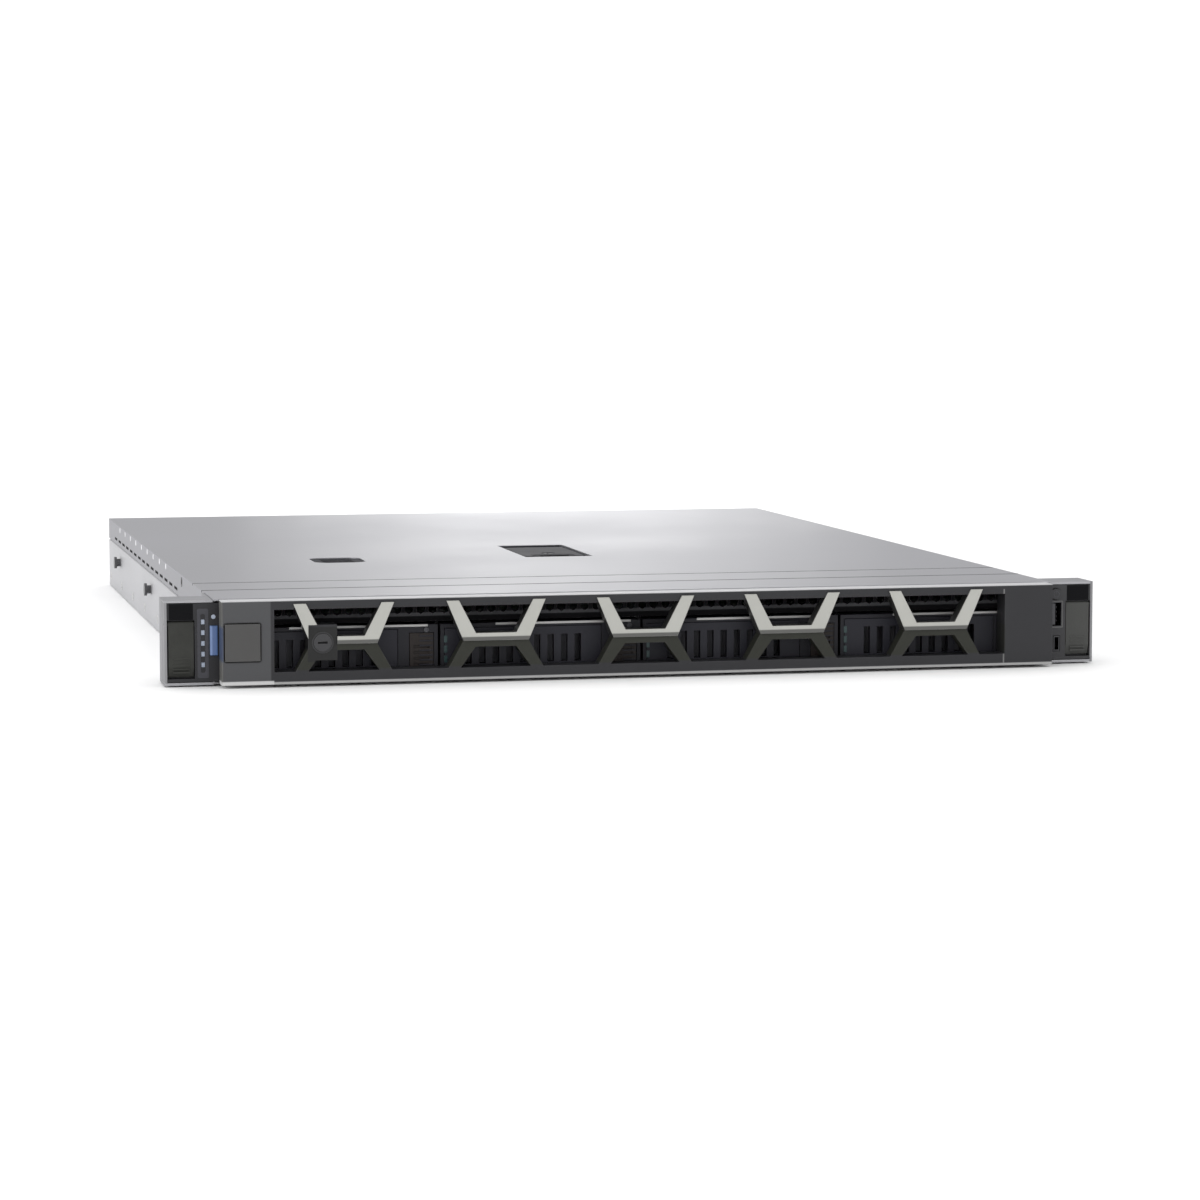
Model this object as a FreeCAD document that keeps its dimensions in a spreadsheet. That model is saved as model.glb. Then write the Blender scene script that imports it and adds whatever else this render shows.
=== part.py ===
import FreeCAD, Part
import os
import re
import Sketcher

# A server one rack unit high, with its front bezel on and its lid shut.
# Frame: X to the right seen from the front, Y to the back, Z up, in millimetres.
# The origin is at the middle of the bottom of the overall box. The front looks along -Y.

SIZES = {
    # Overall sizes of the case
    "body_width": 434.0,
    "body_height": 42.8,
    "overall_depth": 585.3,
    "gauge": 1.0,
    "seat_gap": 0.3,
    "rear_proud": 3.0,
    "bezel_proud": 13.8,
    "tray_set_back": 6.0,
    # Lid, the strip ahead of it and the step in the side walls that both lap over
    "seam_height": 30.0,
    "front_strip_depth": 47.0,
    "seam_gap": 0.4,
    "bead_back": 88.0,
    "bead_width": 1.6,
    "bead_depth": 0.4,
    "cover_travel": 12.0,
    "hook_first": 70.0,
    "hook_last": 51.1,
    "hook_length": 7.0,
    "hook_reach": 2.6,
    "hook_height": 2.0,
    "hook_drop": 8.5,
    "hook_count": 3,
    "grip_side": 122.5,
    "grip_back": 214.0,
    "grip_width": 28.0,
    "grip_length": 33.0,
    "grip_corner": 8.0,
    "grip_sink": 0.5,
    "grip_flange": 0.5,
    "flange_lip": 3.0,
    "skirt_hole_back": 140.0,
    "skirt_hole_drop": 3.8,
    "skirt_hole_radius": 1.6,
    # Latch that drives the lid back
    "latch_side": 3.0,
    "latch_back": 252.0,
    "latch_width": 38.0,
    "latch_length": 82.0,
    "pan_depth": 7.0,
    "pan_wall": 1.5,
    "pivot_in": 10.0,
    "pivot_drop": 3.3,
    "pin_radius": 1.25,
    "running_gap": 0.05,
    "lever_length": 60.0,
    "lever_thick": 3.8,
    "lever_gap": 0.5,
    "lever_scoop": 2.0,
    "scoop_length": 6.0,
    "arm_lean": 30.0,
    "arm_width": 8.0,
    "arm_thick": 4.0,
    "arm_well": 7.0,
    "lock_radius": 4.0,
    "lock_in": 12.0,
    "lock_slot": 1.2,
    "lock_slot_long": 5.6,
    "brace_top": 28.5,
    "brace_tall": 4.7,
    "brace_gauge": 1.2,
    "brace_play": 0.5,
    "brace_foot": 16.0,
    # Studs on the side walls for the slide rails
    "stud_back": 304.0,
    "stud_last": 76.5,
    "stud_height": 20.4,
    "stud_radius": 2.4,
    "stud_head_radius": 3.6,
    "stud_reach": 3.8,
    "stud_head_thick": 1.5,
    # Rack ears
    "ear_width": 24.0,
    "ear_depth": 22.0,
    "ear_gauge": 1.2,
    "ear_inset": 0.4,
    "ear_rim": 1.3,
    "ear_tongue": 38.0,
    "housing_lip": 3.4,
    "housing_lip_deep": 5.0,
    "rack_hole_in": 8.45,
    "rack_hole_radius": 3.8,
    "rack_screw_radius": 2.5,
    "rack_screw_reach": 12.0,
    "rack_head_radius": 4.2,
    "rack_head_long": 7.0,
    "rack_head_slot": 5.9,
    "slam_width": 12.5,
    "slam_height": 27.6,
    "slam_bottom": 4.6,
    "slam_thick": 3.2,
    "slam_barrel": 1.6,
    "slam_pin": 0.9,
    "slam_pin_reach": 1.7,
    "slam_side_gap": 0.4,
    "slam_grip_drop": 5.0,
    # Left control panel
    "led_out": 5.0,
    "led_lowest": 10.4,
    "led_pitch": 5.3,
    "led_width": 1.6,
    "led_height": 2.2,
    "led_count": 5,
    "led_bar_width": 4.0,
    "led_bar_deep": 1.2,
    "face_skin": 1.6,
    "id_in": 0.4,
    "id_width": 3.4,
    "id_height": 14.4,
    "id_middle": 22.3,
    "id_travel": 0.8,
    "id_proud": 1.2,
    # Right control panel
    "power_out": 3.6,
    "power_middle": 36.2,
    "power_radius": 2.8,
    "power_travel": 0.9,
    "power_proud": 1.2,
    "usb_out": 4.4,
    "usb_middle": 25.6,
    "usb_wide": 5.7,
    "usb_tall": 13.1,
    "usb_deep": 14.0,
    "usb_wall": 0.5,
    "usb_tongue": 1.8,
    "service_middle": 10.4,
    "service_wide": 3.2,
    "service_tall": 7.6,
    "service_deep": 8.0,
    # Bezel
    "bezel_side_gap": 2.7,
    "bezel_bottom": 1.2,
    "bezel_top": 42.5,
    "bezel_back_gap": 0.6,
    "top_bar": 4.4,
    "bottom_bar": 6.0,
    "bezel_end": 25.8,
    "bezel_wall": 1.7,
    "end_relief": 1.0,
    "end_round": 2.0,
    "trim_proud": 1.0,
    "strut_first": 34.4,
    "strut_last": 37.4,
    "strut_count": 5,
    "strut_deep": 8.0,
    "strut_leg": 6.2,
    "strut_foot": 48.0,
    "strut_mouth": 50.0,
    "strut_waist": 33.0,
    "waist_bottom": 20.6,
    "waist_bar": 3.8,
    "trim_top": 40.8,
    "key_in": 49.7,
    "key_middle": 21.4,
    "key_block_width": 14.4,
    "key_block_height": 17.6,
    "key_radius": 4.4,
    "key_slot_long": 5.0,
    "key_slot_wide": 1.1,
    "button_in": 10.2,
    "button_middle": 22.2,
    "button_width": 17.4,
    "button_height": 18.4,
    "button_gap": 0.4,
    "button_proud": 0.6,
    "button_travel": 1.6,
    "hinge_in": 3.0,
    "hinge_ahead": 2.6,
    "hinge_pin": 0.9,
    "hinge_lug": 1.9,
    "hinge_lug_tall": 4.0,
    "hinge_low": 8.0,
    "hinge_high": 32.0,
    # Drive cage, carriers and drives
    "bay_count": 4,
    "cage_in": 9.0,
    "divider": 0.6,
    "cage_length": 165.0,
    "shelf_height": 28.9,
    "shelf_thick": 1.2,
    "vent_side": 4.2,
    "vent_pitch": 6.0,
    "carrier_gap": 1.4,
    "carrier_height": 26.4,
    "carrier_front": 11.0,
    "carrier_set_back": 1.0,
    "rail_gauge": 0.5,
    "rail_length": 154.0,
    "lever_tab_gap": 6.2,
    "lever_tall": 22.0,
    "lever_plate": 3.5,
    "slot_pitch": 7.0,
    "slot_width": 3.4,
    "slot_tall": 14.0,
    "slot_count": 9,
    "tab_wide": 12.0,
    "tab_tall": 18.0,
    "tab_travel": 1.5,
    "groove_tall": 1.5,
    "groove_pitch": 3.0,
    "groove_deep": 0.9,
    "groove_in": 2.0,
    "groove_count": 4,
    "drive_gap": 3.0,
    "drive_height": 25.4,
    "drive_length": 146.0,
    "backplane_thick": 1.6,
    "connector_wide": 34.0,
    "connector_tall": 5.7,
    "air_gap_wide": 52.0,
    "air_gap_low": 9.6,
    "air_gap_high": 23.1,
    # Fans
    "fan_wall_back": 176.0,
    "fan_wall_foot": 4.0,
    "fan_size": 40.0,
    "fan_deep": 28.0,
    "fan_bore": 18.8,
    "fan_tip": 18.2,
    "fan_hub": 8.5,
    "fan_shaft": 1.5,
    "fan_in": 33.0,
    "frame_round": 2.8,
    "fan_count": 4,
    "rotor_deep": 18.0,
    "motor_deep": 5.0,
    "spoke_wide": 2.4,
    "blade_count": 7,
    "blade_twist": 38.0,
    "blade_thick": 1.4,
    "blade_reach": 17.1,
    # Power supply
    "psu_width": 86.0,
    "psu_length": 190.0,
    "psu_height": 39.6,
    "psu_gauge": 0.8,
    "psu_side_gap": 4.4,
    "psu_board_in": 23.8,
    "psu_sink_thick": 3.0,
    "psu_sink_in": 24.8,
    "psu_sink_tall": 23.8,
    "psu_coil_tall": 21.8,
    "psu_slot_tall": 23.8,
    "guard_ring": 1.2,
    "guard_pitch": 5.9,
    "guard_count": 3,
    "inlet_wide": 28.0,
    "inlet_tall": 21.0,
    "inlet_deep": 20.0,
    "inlet_flange": 1.6,
    "inlet_pin_pitch": 7.0,
    "inlet_pin_lift": 2.6,
    "inlet_pin_tall": 4.2,
    # Main board and what stands on it
    "board_side_gap": 17.5,
    "board_front_gap": 72.2,
    "board_thick": 1.6,
    "standoff": 4.4,
    "standoff_radius": 3.0,
    "sink_width": 84.0,
    "sink_length": 84.0,
    "sink_height": 25.0,
    "sink_side": 115.9,
    "sink_back": 104.4,
    "sink_base": 4.0,
    "socket_lift": 3.6,
    "fin_thick": 0.9,
    "fin_count": 18,
    "dimm_pitch": 10.0,
    "dimm_count": 4,
    "dimm_back": 116.0,
    "dimm_length": 133.4,
    "dimm_height": 30.0,
    "dimm_thick": 1.6,
    "dimm_socket_height": 8.0,
    "dimm_socket_width": 6.4,
    # Rear ports and expansion slots
    "net_in": 58.0,
    "net_pitch": 18.4,
    "rear_usb_in": 98.0,
    "video_in": 128.0,
    "serial_in": 26.0,
    "rj_wide": 16.0,
    "rj_tall": 13.4,
    "rj_deep": 21.0,
    "rj_mouth_wide": 11.8,
    "rj_mouth_tall": 8.6,
    "dsub_wide": 31.0,
    "dsub_tall": 12.5,
    "dsub_deep": 14.0,
    "dsub_mouth_wide": 16.8,
    "dsub_mouth_narrow": 14.2,
    "dsub_mouth_tall": 8.2,
    "jack_pitch": 24.8,
    "slot_gap": 8.0,
    "slot_cover_long": 80.0,
    "slot_cover_tall": 18.4,
    "slot_hole_pitch": 9.0,
    "slot_hole_count": 7,
    "riser_long": 96.0,
    "riser_tall": 28.0,
    "jack_radius": 2.4,
}

# Places worked out from the sizes
FRONT = "(-overall_depth/2)"
BEZEL_FACE = f"({FRONT}+trim_proud)"
EAR = f"({FRONT}+bezel_proud)"
FLANGE = f"({EAR}+ear_depth)"
TRAY_FRONT = f"({EAR}+tray_set_back)"
SEAM = f"({EAR}+front_strip_depth)"
REAR = "(overall_depth/2-rear_proud)"
SIDE = "(body_width/2)"
RACK_SIDE = f"({SIDE}+ear_width)"
JOGGLE = "(gauge+seat_gap)"
LID_UNDER = "(body_height-gauge)"
WALL_TOP = f"({LID_UNDER}-seat_gap)"
SKIRT_LOW = "(seam_height+seat_gap)"

doc = FreeCAD.newDocument("rack_server")
sheet = doc.addObject("Spreadsheet::Sheet", "Sizes")
nodes = []


def fill_sheet():
    """Write every size into the sheet, one row each, with its alias."""
    for row, (name, size) in enumerate(SIZES.items(), start=1):
        sheet.set(f"A{row}", name)
        sheet.set(f"B{row}", str(size))
        sheet.setAlias(f"B{row}", name)
    doc.recompute()


def link(text):
    """Point every size named in an expression at its cell of the sheet."""
    return re.sub(r"[a-z_]+", lambda word: f"Sizes.{word[0]}" if word[0] in SIZES else word[0], str(text))


def value(text):
    """Work out an expression of sizes as a number."""
    return float(sheet.evalExpression(link(text)))


def tie(item, prop, text):
    """Bind one property of an object to an expression of sizes."""
    item.setExpression(prop, link(text))


def middle(centre, width):
    """The low and high ends of a width about its centre."""
    return f"({centre})-({width})/2", f"({centre})+({width})/2"


def reach(start, length):
    """The low and high ends of a length from its start."""
    return f"({start})", f"({start})+({length})"


def outboard(side, near, far):
    """The low and high ends across a stretch from near to far on one side of the case."""
    if side > 0:
        return f"({near})", f"({far})"
    return f"-({far})", f"-({near})"


def polygon(*points):
    """A closed outline of straight runs through points given as expressions."""
    def draw(sketch):
        first = sketch.GeometryCount
        spots = [FreeCAD.Vector(value(x), value(y), 0) for x, y in points]
        count = len(spots)
        for index in range(count):
            sketch.addGeometry(Part.LineSegment(spots[index], spots[(index + 1) % count]))
        rules = []
        for index in range(count):
            rules.append(Sketcher.Constraint("Coincident", first + index, 2, first + (index + 1) % count, 1))
        sketch.addConstraint(rules)
        for index, (x, y) in enumerate(points):
            pin(sketch, first + index, 1, x, y, spots[index])
    return draw


def pin(sketch, edge, end, x, y, spot):
    """Hold one point of a sketch at a place given by two expressions."""
    for kind, text, size in (("DistanceX", x, spot.x), ("DistanceY", y, spot.y)):
        rule = sketch.addConstraint(Sketcher.Constraint(kind, -1, 1, edge, end, size))
        tie(sketch, f"Constraints[{rule}]", text)


def rect(across, up):
    """A rectangle between two pairs of low and high ends."""
    return polygon((across[0], up[0]), (across[1], up[0]), (across[1], up[1]), (across[0], up[1]))


def disc(x, y, radius):
    """A full circle."""
    def draw(sketch):
        spot = FreeCAD.Vector(value(x), value(y), 0)
        size = value(radius)
        edge = sketch.addGeometry(Part.Circle(spot, FreeCAD.Vector(0, 0, 1), size))
        pin(sketch, edge, 3, x, y, spot)
        rule = sketch.addConstraint(Sketcher.Constraint("Radius", edge, size))
        tie(sketch, f"Constraints[{rule}]", radius)
    return draw


class Piece:
    """A PartDesign body made of pads and pockets whose sketches are tied to the sheet."""

    def __init__(self, label):
        self.body = doc.addObject("PartDesign::Body", label)
        self.body.Label = label
        self.steps = 0

    def origin(self, role):
        """One plane or axis of this body's own origin."""
        return next(item for item in self.body.Origin.OriginFeatures if item.Role == role)

    def add(self, kind):
        """One more feature, numbered in the order of making."""
        self.steps += 1
        return self.body.newObject(kind, f"{self.body.Label}_{self.steps}")

    def sketch(self, plane, at, loops):
        """Outlines on a plane parallel to one of the origin planes."""
        sketch = self.add("Sketcher::SketchObject")
        sketch.AttachmentSupport = (self.origin(f"{plane}_Plane"), [""])
        sketch.MapMode = "FlatFace"
        tie(sketch, "AttachmentOffset.Base.z", f"-({at})" if plane == "XZ" else at)
        for loop in loops:
            loop(sketch)
        return sketch

    def pad(self, plane, ends, *loops):
        """Add material between two planes."""
        low, high = ends
        sketch = self.sketch(plane, high if plane == "XZ" else low, loops)
        pad = self.add("PartDesign::Pad")
        pad.Profile = sketch
        tie(pad, "Length", f"({high})-({low})")
        return pad

    def pocket(self, plane, ends, *loops):
        """Take material away between two planes."""
        low, high = ends
        sketch = self.sketch(plane, low if plane == "XZ" else high, loops)
        pocket = self.add("PartDesign::Pocket")
        pocket.Profile = sketch
        tie(pocket, "Length", f"({high})-({low})")
        return pocket

    def row(self, features, axis, pitch, count):
        """Repeat features in a straight row."""
        row = self.add("PartDesign::LinearPattern")
        row.Originals = features
        row.Direction = (self.origin(f"{axis}_Axis"), [""])
        tie(row, "Length", f"({pitch})*({count}-1)")
        tie(row, "Occurrences", count)
        self.body.Tip = row
        return row

    def round_edges(self, radius, test):
        """Fillet the edges of the body so far that pass a test."""
        doc.recompute()
        tip = self.body.Tip
        names = [f"Edge{number}" for number, edge in enumerate(tip.Shape.Edges, start=1) if test(edge)]
        fillet = self.add("PartDesign::Fillet")
        fillet.Base = (tip, names)
        tie(fillet, "Radius", radius)
        return fillet

    def done(self):
        """Hand the finished body over as a node."""
        nodes.append(self.body)
        return self.body


def upright(edge, x=None, y=None, slack=0.01):
    """Whether an edge is straight, runs along Z and stands at the given place."""
    box = edge.BoundBox
    thin = box.XLength < slack and box.YLength < slack
    at_x = x is None or abs(abs(box.XMin) - abs(value(x))) < slack
    at_y = y is None or abs(box.YMin - value(y)) < slack
    return thin and at_x and at_y


def block(name, across, along, up):
    """A box between three pairs of low and high ends."""
    item = doc.addObject("Part::Box", name)
    for prop, axis, (low, high) in (("Length", "x", across), ("Width", "y", along), ("Height", "z", up)):
        tie(item, prop, f"({high})-({low})")
        tie(item, f"Placement.Base.{axis}", low)
    return item


TURNS = {
    "X": FreeCAD.Rotation(FreeCAD.Vector(0, 1, 0), 90),
    "Y": FreeCAD.Rotation(FreeCAD.Vector(1, 0, 0), -90),
    "Z": FreeCAD.Rotation(),
}


def rod(name, axis, start, radius, length):
    """A round bar along one axis from its start point."""
    item = doc.addObject("Part::Cylinder", name)
    item.Placement = FreeCAD.Placement(FreeCAD.Vector(), TURNS[axis])
    for letter, text in zip("xyz", start):
        tie(item, f"Placement.Base.{letter}", text)
    tie(item, "Radius", radius)
    tie(item, "Height", length)
    return item


def fuse(name, *items):
    """Join solids of one piece."""
    item = doc.addObject("Part::MultiFuse", name)
    item.Shapes = list(items)
    return item


def group(name, *items):
    """Keep separate solids together as one node."""
    item = doc.addObject("Part::Compound", name)
    item.Links = list(items)
    return item


def node(item, label):
    """Name a finished object as a node."""
    item.Label = label
    nodes.append(item)
    return item


def case_profile(side_out, low, top, thickness):
    """An upside-down channel seen from the front: top plate with a skirt down each side."""
    inner = f"({side_out})-({thickness})"
    return polygon(
        (f"-({side_out})", low), (f"-({side_out})", top), (side_out, top), (side_out, low),
        (inner, low), (inner, f"({top})-({thickness})"),
        (f"-({inner})", f"({top})-({thickness})"), (f"-({inner})", low),
    )


# Where the lid's hooks and the pan of its latch sit
HOOK = f"({SEAM}+seam_gap+hook_first)"
HOOK_LOW = "(body_height-hook_drop-hook_height)"
HOOK_PITCH = f"(({REAR}-hook_last-{HOOK})/(hook_count-1))"
STUDS_AT = (f"({EAR}+stud_back)", f"({REAR}-stud_last)")
PAN_MIDDLE = f"({EAR}+latch_back)"
PIVOT_Y = f"({PAN_MIDDLE}+latch_length/2-pivot_in)"
PIVOT_Z = "(body_height-pivot_drop)"
ARM_TIP_Y = f"({PIVOT_Y}+cover_travel/2)"
ARM_TIP_Z = f"({PIVOT_Z}-cover_travel/2/tan(arm_lean*1deg))"
GRIP_MIDDLE = f"({EAR}+grip_back)"


def chassis_tray():
    """Floor and side walls, stepped inward above the seam, with slots for the lid's hooks."""
    tray = Piece("chassis_tray")
    right = [
        (SIDE, "0"), (SIDE, "seam_height-gauge"), (f"{SIDE}-{JOGGLE}", "seam_height"),
        (f"{SIDE}-{JOGGLE}", WALL_TOP), (f"{SIDE}-{JOGGLE}-gauge", WALL_TOP),
        (f"{SIDE}-{JOGGLE}-gauge", "seam_height-seat_gap"), (f"{SIDE}-gauge", "seam_height-gauge-seat_gap"),
        (f"{SIDE}-gauge", "gauge"),
    ]
    left = [(f"-({x})", z) for x, z in reversed(right)]
    tray.pad("XZ", (TRAY_FRONT, REAR), polygon(*right, *left))
    low, high = f"{HOOK_LOW}-seam_gap", f"{HOOK_LOW}+hook_height+seam_gap"
    front, back = f"{HOOK}-seam_gap", f"{HOOK}+hook_length+cover_travel+seam_gap"
    throat = f"{HOOK}+cover_travel-seam_gap"
    slot = tray.pocket("YZ", (f"-{SIDE}", SIDE), polygon(
        (front, low), (back, low), (back, "body_height"),
        (throat, "body_height"), (throat, high), (front, high),
    ))
    tray.row([slot], "Y", HOOK_PITCH, "hook_count")
    tray.done()


def front_strip():
    """Fixed strip of lid ahead of the seam, with its skirts outside the stepped walls."""
    strip = Piece("front_top_strip")
    strip.pad("XZ", (TRAY_FRONT, SEAM), case_profile(SIDE, SKIRT_LOW, "body_height", "gauge"))
    strip.pad("XY", (LID_UNDER, "body_height"),
              rect(middle("0", "body_width"), (f"{EAR}+seat_gap", TRAY_FRONT)))
    strip.done()


def top_cover():
    """Sliding lid with hooks on its skirts, a stiffening bead and openings for latch and grip."""
    cover = Piece("top_cover")
    cover.pad("XZ", (f"{SEAM}+seam_gap", REAR), case_profile(SIDE, SKIRT_LOW, "body_height", "gauge"))
    cover.pocket("XY", (f"{LID_UNDER}-gauge", "body_height"),
                 rect(middle("latch_side", "latch_width+2*seat_gap"),
                      middle(PAN_MIDDLE, "latch_length+2*seat_gap")),
                 rect(middle("-grip_side", "grip_width+2*seat_gap"),
                      middle(GRIP_MIDDLE, "grip_length+2*seat_gap")))
    cover.pocket("XY", ("body_height-bead_depth", "body_height"),
                 rect(middle("0", "body_width-4*hook_reach"), middle(f"{EAR}+bead_back", "bead_width")))
    hooks = cover.pad("XY", reach(HOOK_LOW, "hook_height"),
                      rect(reach(f"{SIDE}-gauge-hook_reach", "hook_reach"), reach(HOOK, "hook_length")),
                      rect(reach(f"-({SIDE}-gauge)", "hook_reach"), reach(HOOK, "hook_length")))
    cover.row([hooks], "Y", HOOK_PITCH, "hook_count")
    cover.pocket("YZ", (f"-{SIDE}", SIDE),
                 disc(f"{EAR}+skirt_hole_back", "body_height-skirt_hole_drop", "skirt_hole_radius"))
    cover.round_edges("grip_corner", lambda edge: upright(edge) and value(f"{GRIP_MIDDLE}-grip_length")
                      < edge.BoundBox.YMin < value(f"{GRIP_MIDDLE}+grip_length")
                      and edge.BoundBox.XMin < value("-grip_side+grip_width"))
    cover.done()


def cover_grip_pad():
    """Plastic thumb pad snapped into the lid from below."""
    pad = Piece("cover_grip_pad")
    pad.pad("XY", ("body_height-gauge", "body_height-grip_sink"),
            rect(middle("-grip_side", "grip_width"), middle(GRIP_MIDDLE, "grip_length")))
    pad.round_edges("grip_corner", upright)
    pad.pad("XY", (f"{LID_UNDER}-grip_flange", LID_UNDER),
            rect(middle("-grip_side", "grip_width+2*flange_lip"),
                 middle(GRIP_MIDDLE, "grip_length+2*flange_lip")))
    pad.done()


def cover_latch_pan():
    """Recessed pan that carries the latch lever, flanged under the lid."""
    pan = Piece("cover_latch_pan")
    floor = "body_height-pan_depth"
    pan.pad("XY", (f"{floor}-pan_wall", "body_height-seat_gap"),
            rect(middle("latch_side", "latch_width"), middle(PAN_MIDDLE, "latch_length")))
    pan.pad("XY", (f"{LID_UNDER}-pan_wall", LID_UNDER),
            rect(middle("latch_side", "latch_width+2*flange_lip"),
                 middle(PAN_MIDDLE, "latch_length+2*flange_lip")))
    pan.pocket("XY", (floor, "body_height"),
               rect(middle("latch_side", "latch_width-2*pan_wall"),
                    middle(PAN_MIDDLE, "latch_length-2*pan_wall")))
    pan.pocket("XY", (f"{floor}-2*pan_wall", "body_height"),
               rect(middle("latch_side", "arm_width+4*lever_gap"), middle(PIVOT_Y, "2*arm_well")))
    pan.pocket("YZ", middle("latch_side", "latch_width+2*seat_gap"),
               disc(PIVOT_Y, PIVOT_Z, "pin_radius+running_gap"))
    pan.done()


def cover_latch_lever():
    """Lever that lifts at its front end, with the arm below it that drives the lid back."""
    lever = Piece("cover_latch_lever")
    width = "latch_width-2*pan_wall-2*lever_gap"
    across = middle("latch_side", width)
    barrel = "(lever_thick-lever_gap)"
    top = f"{PIVOT_Z}+lever_thick-lever_gap*2"
    lever.pad("YZ", across, rect((f"{PIVOT_Y}-lever_length", PIVOT_Y), (f"{top}-lever_thick", top)))
    lever.pad("YZ", across, disc(PIVOT_Y, PIVOT_Z, f"{top}-({PIVOT_Z})"))
    lever.pocket("XY", (f"{top}-lever_scoop", top),
                 rect(middle("latch_side", f"({width})/2"),
                      reach(f"{PIVOT_Y}-lever_length", "scoop_length")))
    arm = middle("latch_side", "arm_width")
    lean = "(arm_lean*1deg)"
    half = "(arm_thick/2)"
    lever.pad("YZ", arm, polygon(
        (f"{PIVOT_Y}-{half}*cos{lean}", f"{PIVOT_Z}-{half}*sin{lean}"),
        (f"{ARM_TIP_Y}-{half}*cos{lean}", f"{ARM_TIP_Z}-{half}*sin{lean}"),
        (f"{ARM_TIP_Y}+{half}*cos{lean}", f"{ARM_TIP_Z}+{half}*sin{lean}"),
        (f"{PIVOT_Y}+{half}*cos{lean}", f"{PIVOT_Z}+{half}*sin{lean}"),
    ))
    lever.pad("YZ", arm, disc(ARM_TIP_Y, ARM_TIP_Z, half))
    lever.pad("YZ", middle("latch_side", "latch_width"), disc(PIVOT_Y, PIVOT_Z, "pin_radius"))
    lever.pocket("XY", (f"{top}-2*lever_thick", top),
                 disc("latch_side", f"{PIVOT_Y}-lever_length+lock_in+scoop_length", "lock_radius"))
    lever.done()


def cover_latch_lock():
    """Quarter-turn lock with a driver slot, set in the lever."""
    lock = Piece("cover_latch_lock")
    top = f"{PIVOT_Z}+lever_thick-lever_gap*2"
    place = ("latch_side", f"{PIVOT_Y}-lever_length+lock_in+scoop_length")
    lock.pad("XY", (f"{top}-lever_thick", f"{top}-seat_gap"), disc(*place, "lock_radius-running_gap"))
    lock.pocket("XY", (f"{top}-lock_slot-seat_gap", top),
                rect(middle(place[0], "lock_slot"), middle(place[1], "lock_slot_long")))
    lock.done()


def cross_brace():
    """Channel across the case in which the arm of the lid latch is caught, on two feet."""
    brace = Piece("cross_brace")
    half = f"({SIDE}-gauge-{JOGGLE}-seat_gap)"
    inner = "(arm_thick/2+brace_play)"
    outer = f"({inner}+brace_gauge)"
    low = "brace_top-brace_tall"
    brace.pad("YZ", (f"-{half}", half), polygon(
        (f"{ARM_TIP_Y}-{outer}", low), (f"{ARM_TIP_Y}+{outer}", low), (f"{ARM_TIP_Y}+{outer}", "brace_top"),
        (f"{ARM_TIP_Y}+{inner}", "brace_top"), (f"{ARM_TIP_Y}+{inner}", f"{low}+brace_gauge"),
        (f"{ARM_TIP_Y}-{inner}", f"{low}+brace_gauge"), (f"{ARM_TIP_Y}-{inner}", "brace_top"),
        (f"{ARM_TIP_Y}-{outer}", "brace_top"),
    ))
    foot = middle(ARM_TIP_Y, "brace_foot")
    brace.pad("XY", ("gauge", low), rect((f"-{half}", f"-{half}+brace_gauge"), foot),
              rect((f"{half}-brace_gauge", half), foot))
    brace.done()


def rail_studs():
    """Four shouldered studs, two on each side wall, on which the slide rails hang."""
    studs = []
    for side, hand in ((-1, "left"), (1, "right")):
        for index, along in enumerate(STUDS_AT):
            wall, tip = outboard(side, SIDE, f"{SIDE}+stud_reach")
            head = tip if side > 0 else wall
            head_start = f"{head}-stud_head_thick" if side > 0 else head
            name = f"{hand}_stud_{index + 1}"
            shank = rod(f"{name}_shank", "X", (wall, along, "stud_height"), "stud_radius", "stud_reach")
            cap = rod(f"{name}_head", "X", (head_start, along, "stud_height"),
                      "stud_head_radius", "stud_head_thick")
            studs.append(fuse(name, shank, cap))
    node(group("stud_set", *studs), "rail_studs")


# Upright extents of the ears and their plastic faces
EAR_UP = ("ear_inset", "body_height-ear_inset")
FACE_UP = ("ear_inset+ear_rim", "body_height-ear_inset-ear_gauge")
SCREW_X = f"({RACK_SIDE}-rack_hole_in)"
SCREW_Z = "(body_height/2)"
SLAM_X = f"({RACK_SIDE}-ear_rim-seat_gap-slam_side_gap-slam_width/2)"
SLAM_PIVOT_Y = f"({EAR}+slam_barrel+seat_gap)"
SLAM_PIVOT_Z = "(slam_bottom+slam_height-slam_barrel)"


def ear_bracket(side, label):
    """Folded steel ear: rim round the control housing, rack flange and tongue along the wall."""
    ear = Piece(label)
    across = outboard(side, SIDE, RACK_SIDE)
    ear.pad("XY", EAR_UP, rect(across, (EAR, FLANGE)))
    ear.pocket("XZ", (EAR, f"{FLANGE}-ear_gauge"),
               rect(outboard(side, f"{SIDE}-gauge", f"{RACK_SIDE}-ear_rim"), FACE_UP))
    ear.pad("XY", EAR_UP, rect(outboard(side, SIDE, f"{SIDE}+ear_gauge"), reach(EAR, "ear_tongue")))
    ear.pocket("XZ", (EAR, f"{EAR}+ear_gauge+housing_lip_deep+seat_gap"),
               rect(outboard(side, f"{SIDE}-gauge", f"{SIDE}+ear_gauge+seat_gap"), FACE_UP))
    ear.pocket("YZ", middle(f"{side}*{SLAM_X}", "slam_width+2*slam_pin_reach+4*seat_gap"),
               disc(SLAM_PIVOT_Y, SLAM_PIVOT_Z, "slam_pin+running_gap"))
    ear.pocket("XZ", (f"{FLANGE}-2*ear_gauge", FLANGE),
               disc(f"{side}*{SCREW_X}", SCREW_Z, "rack_hole_radius"))
    ear.done()


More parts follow.
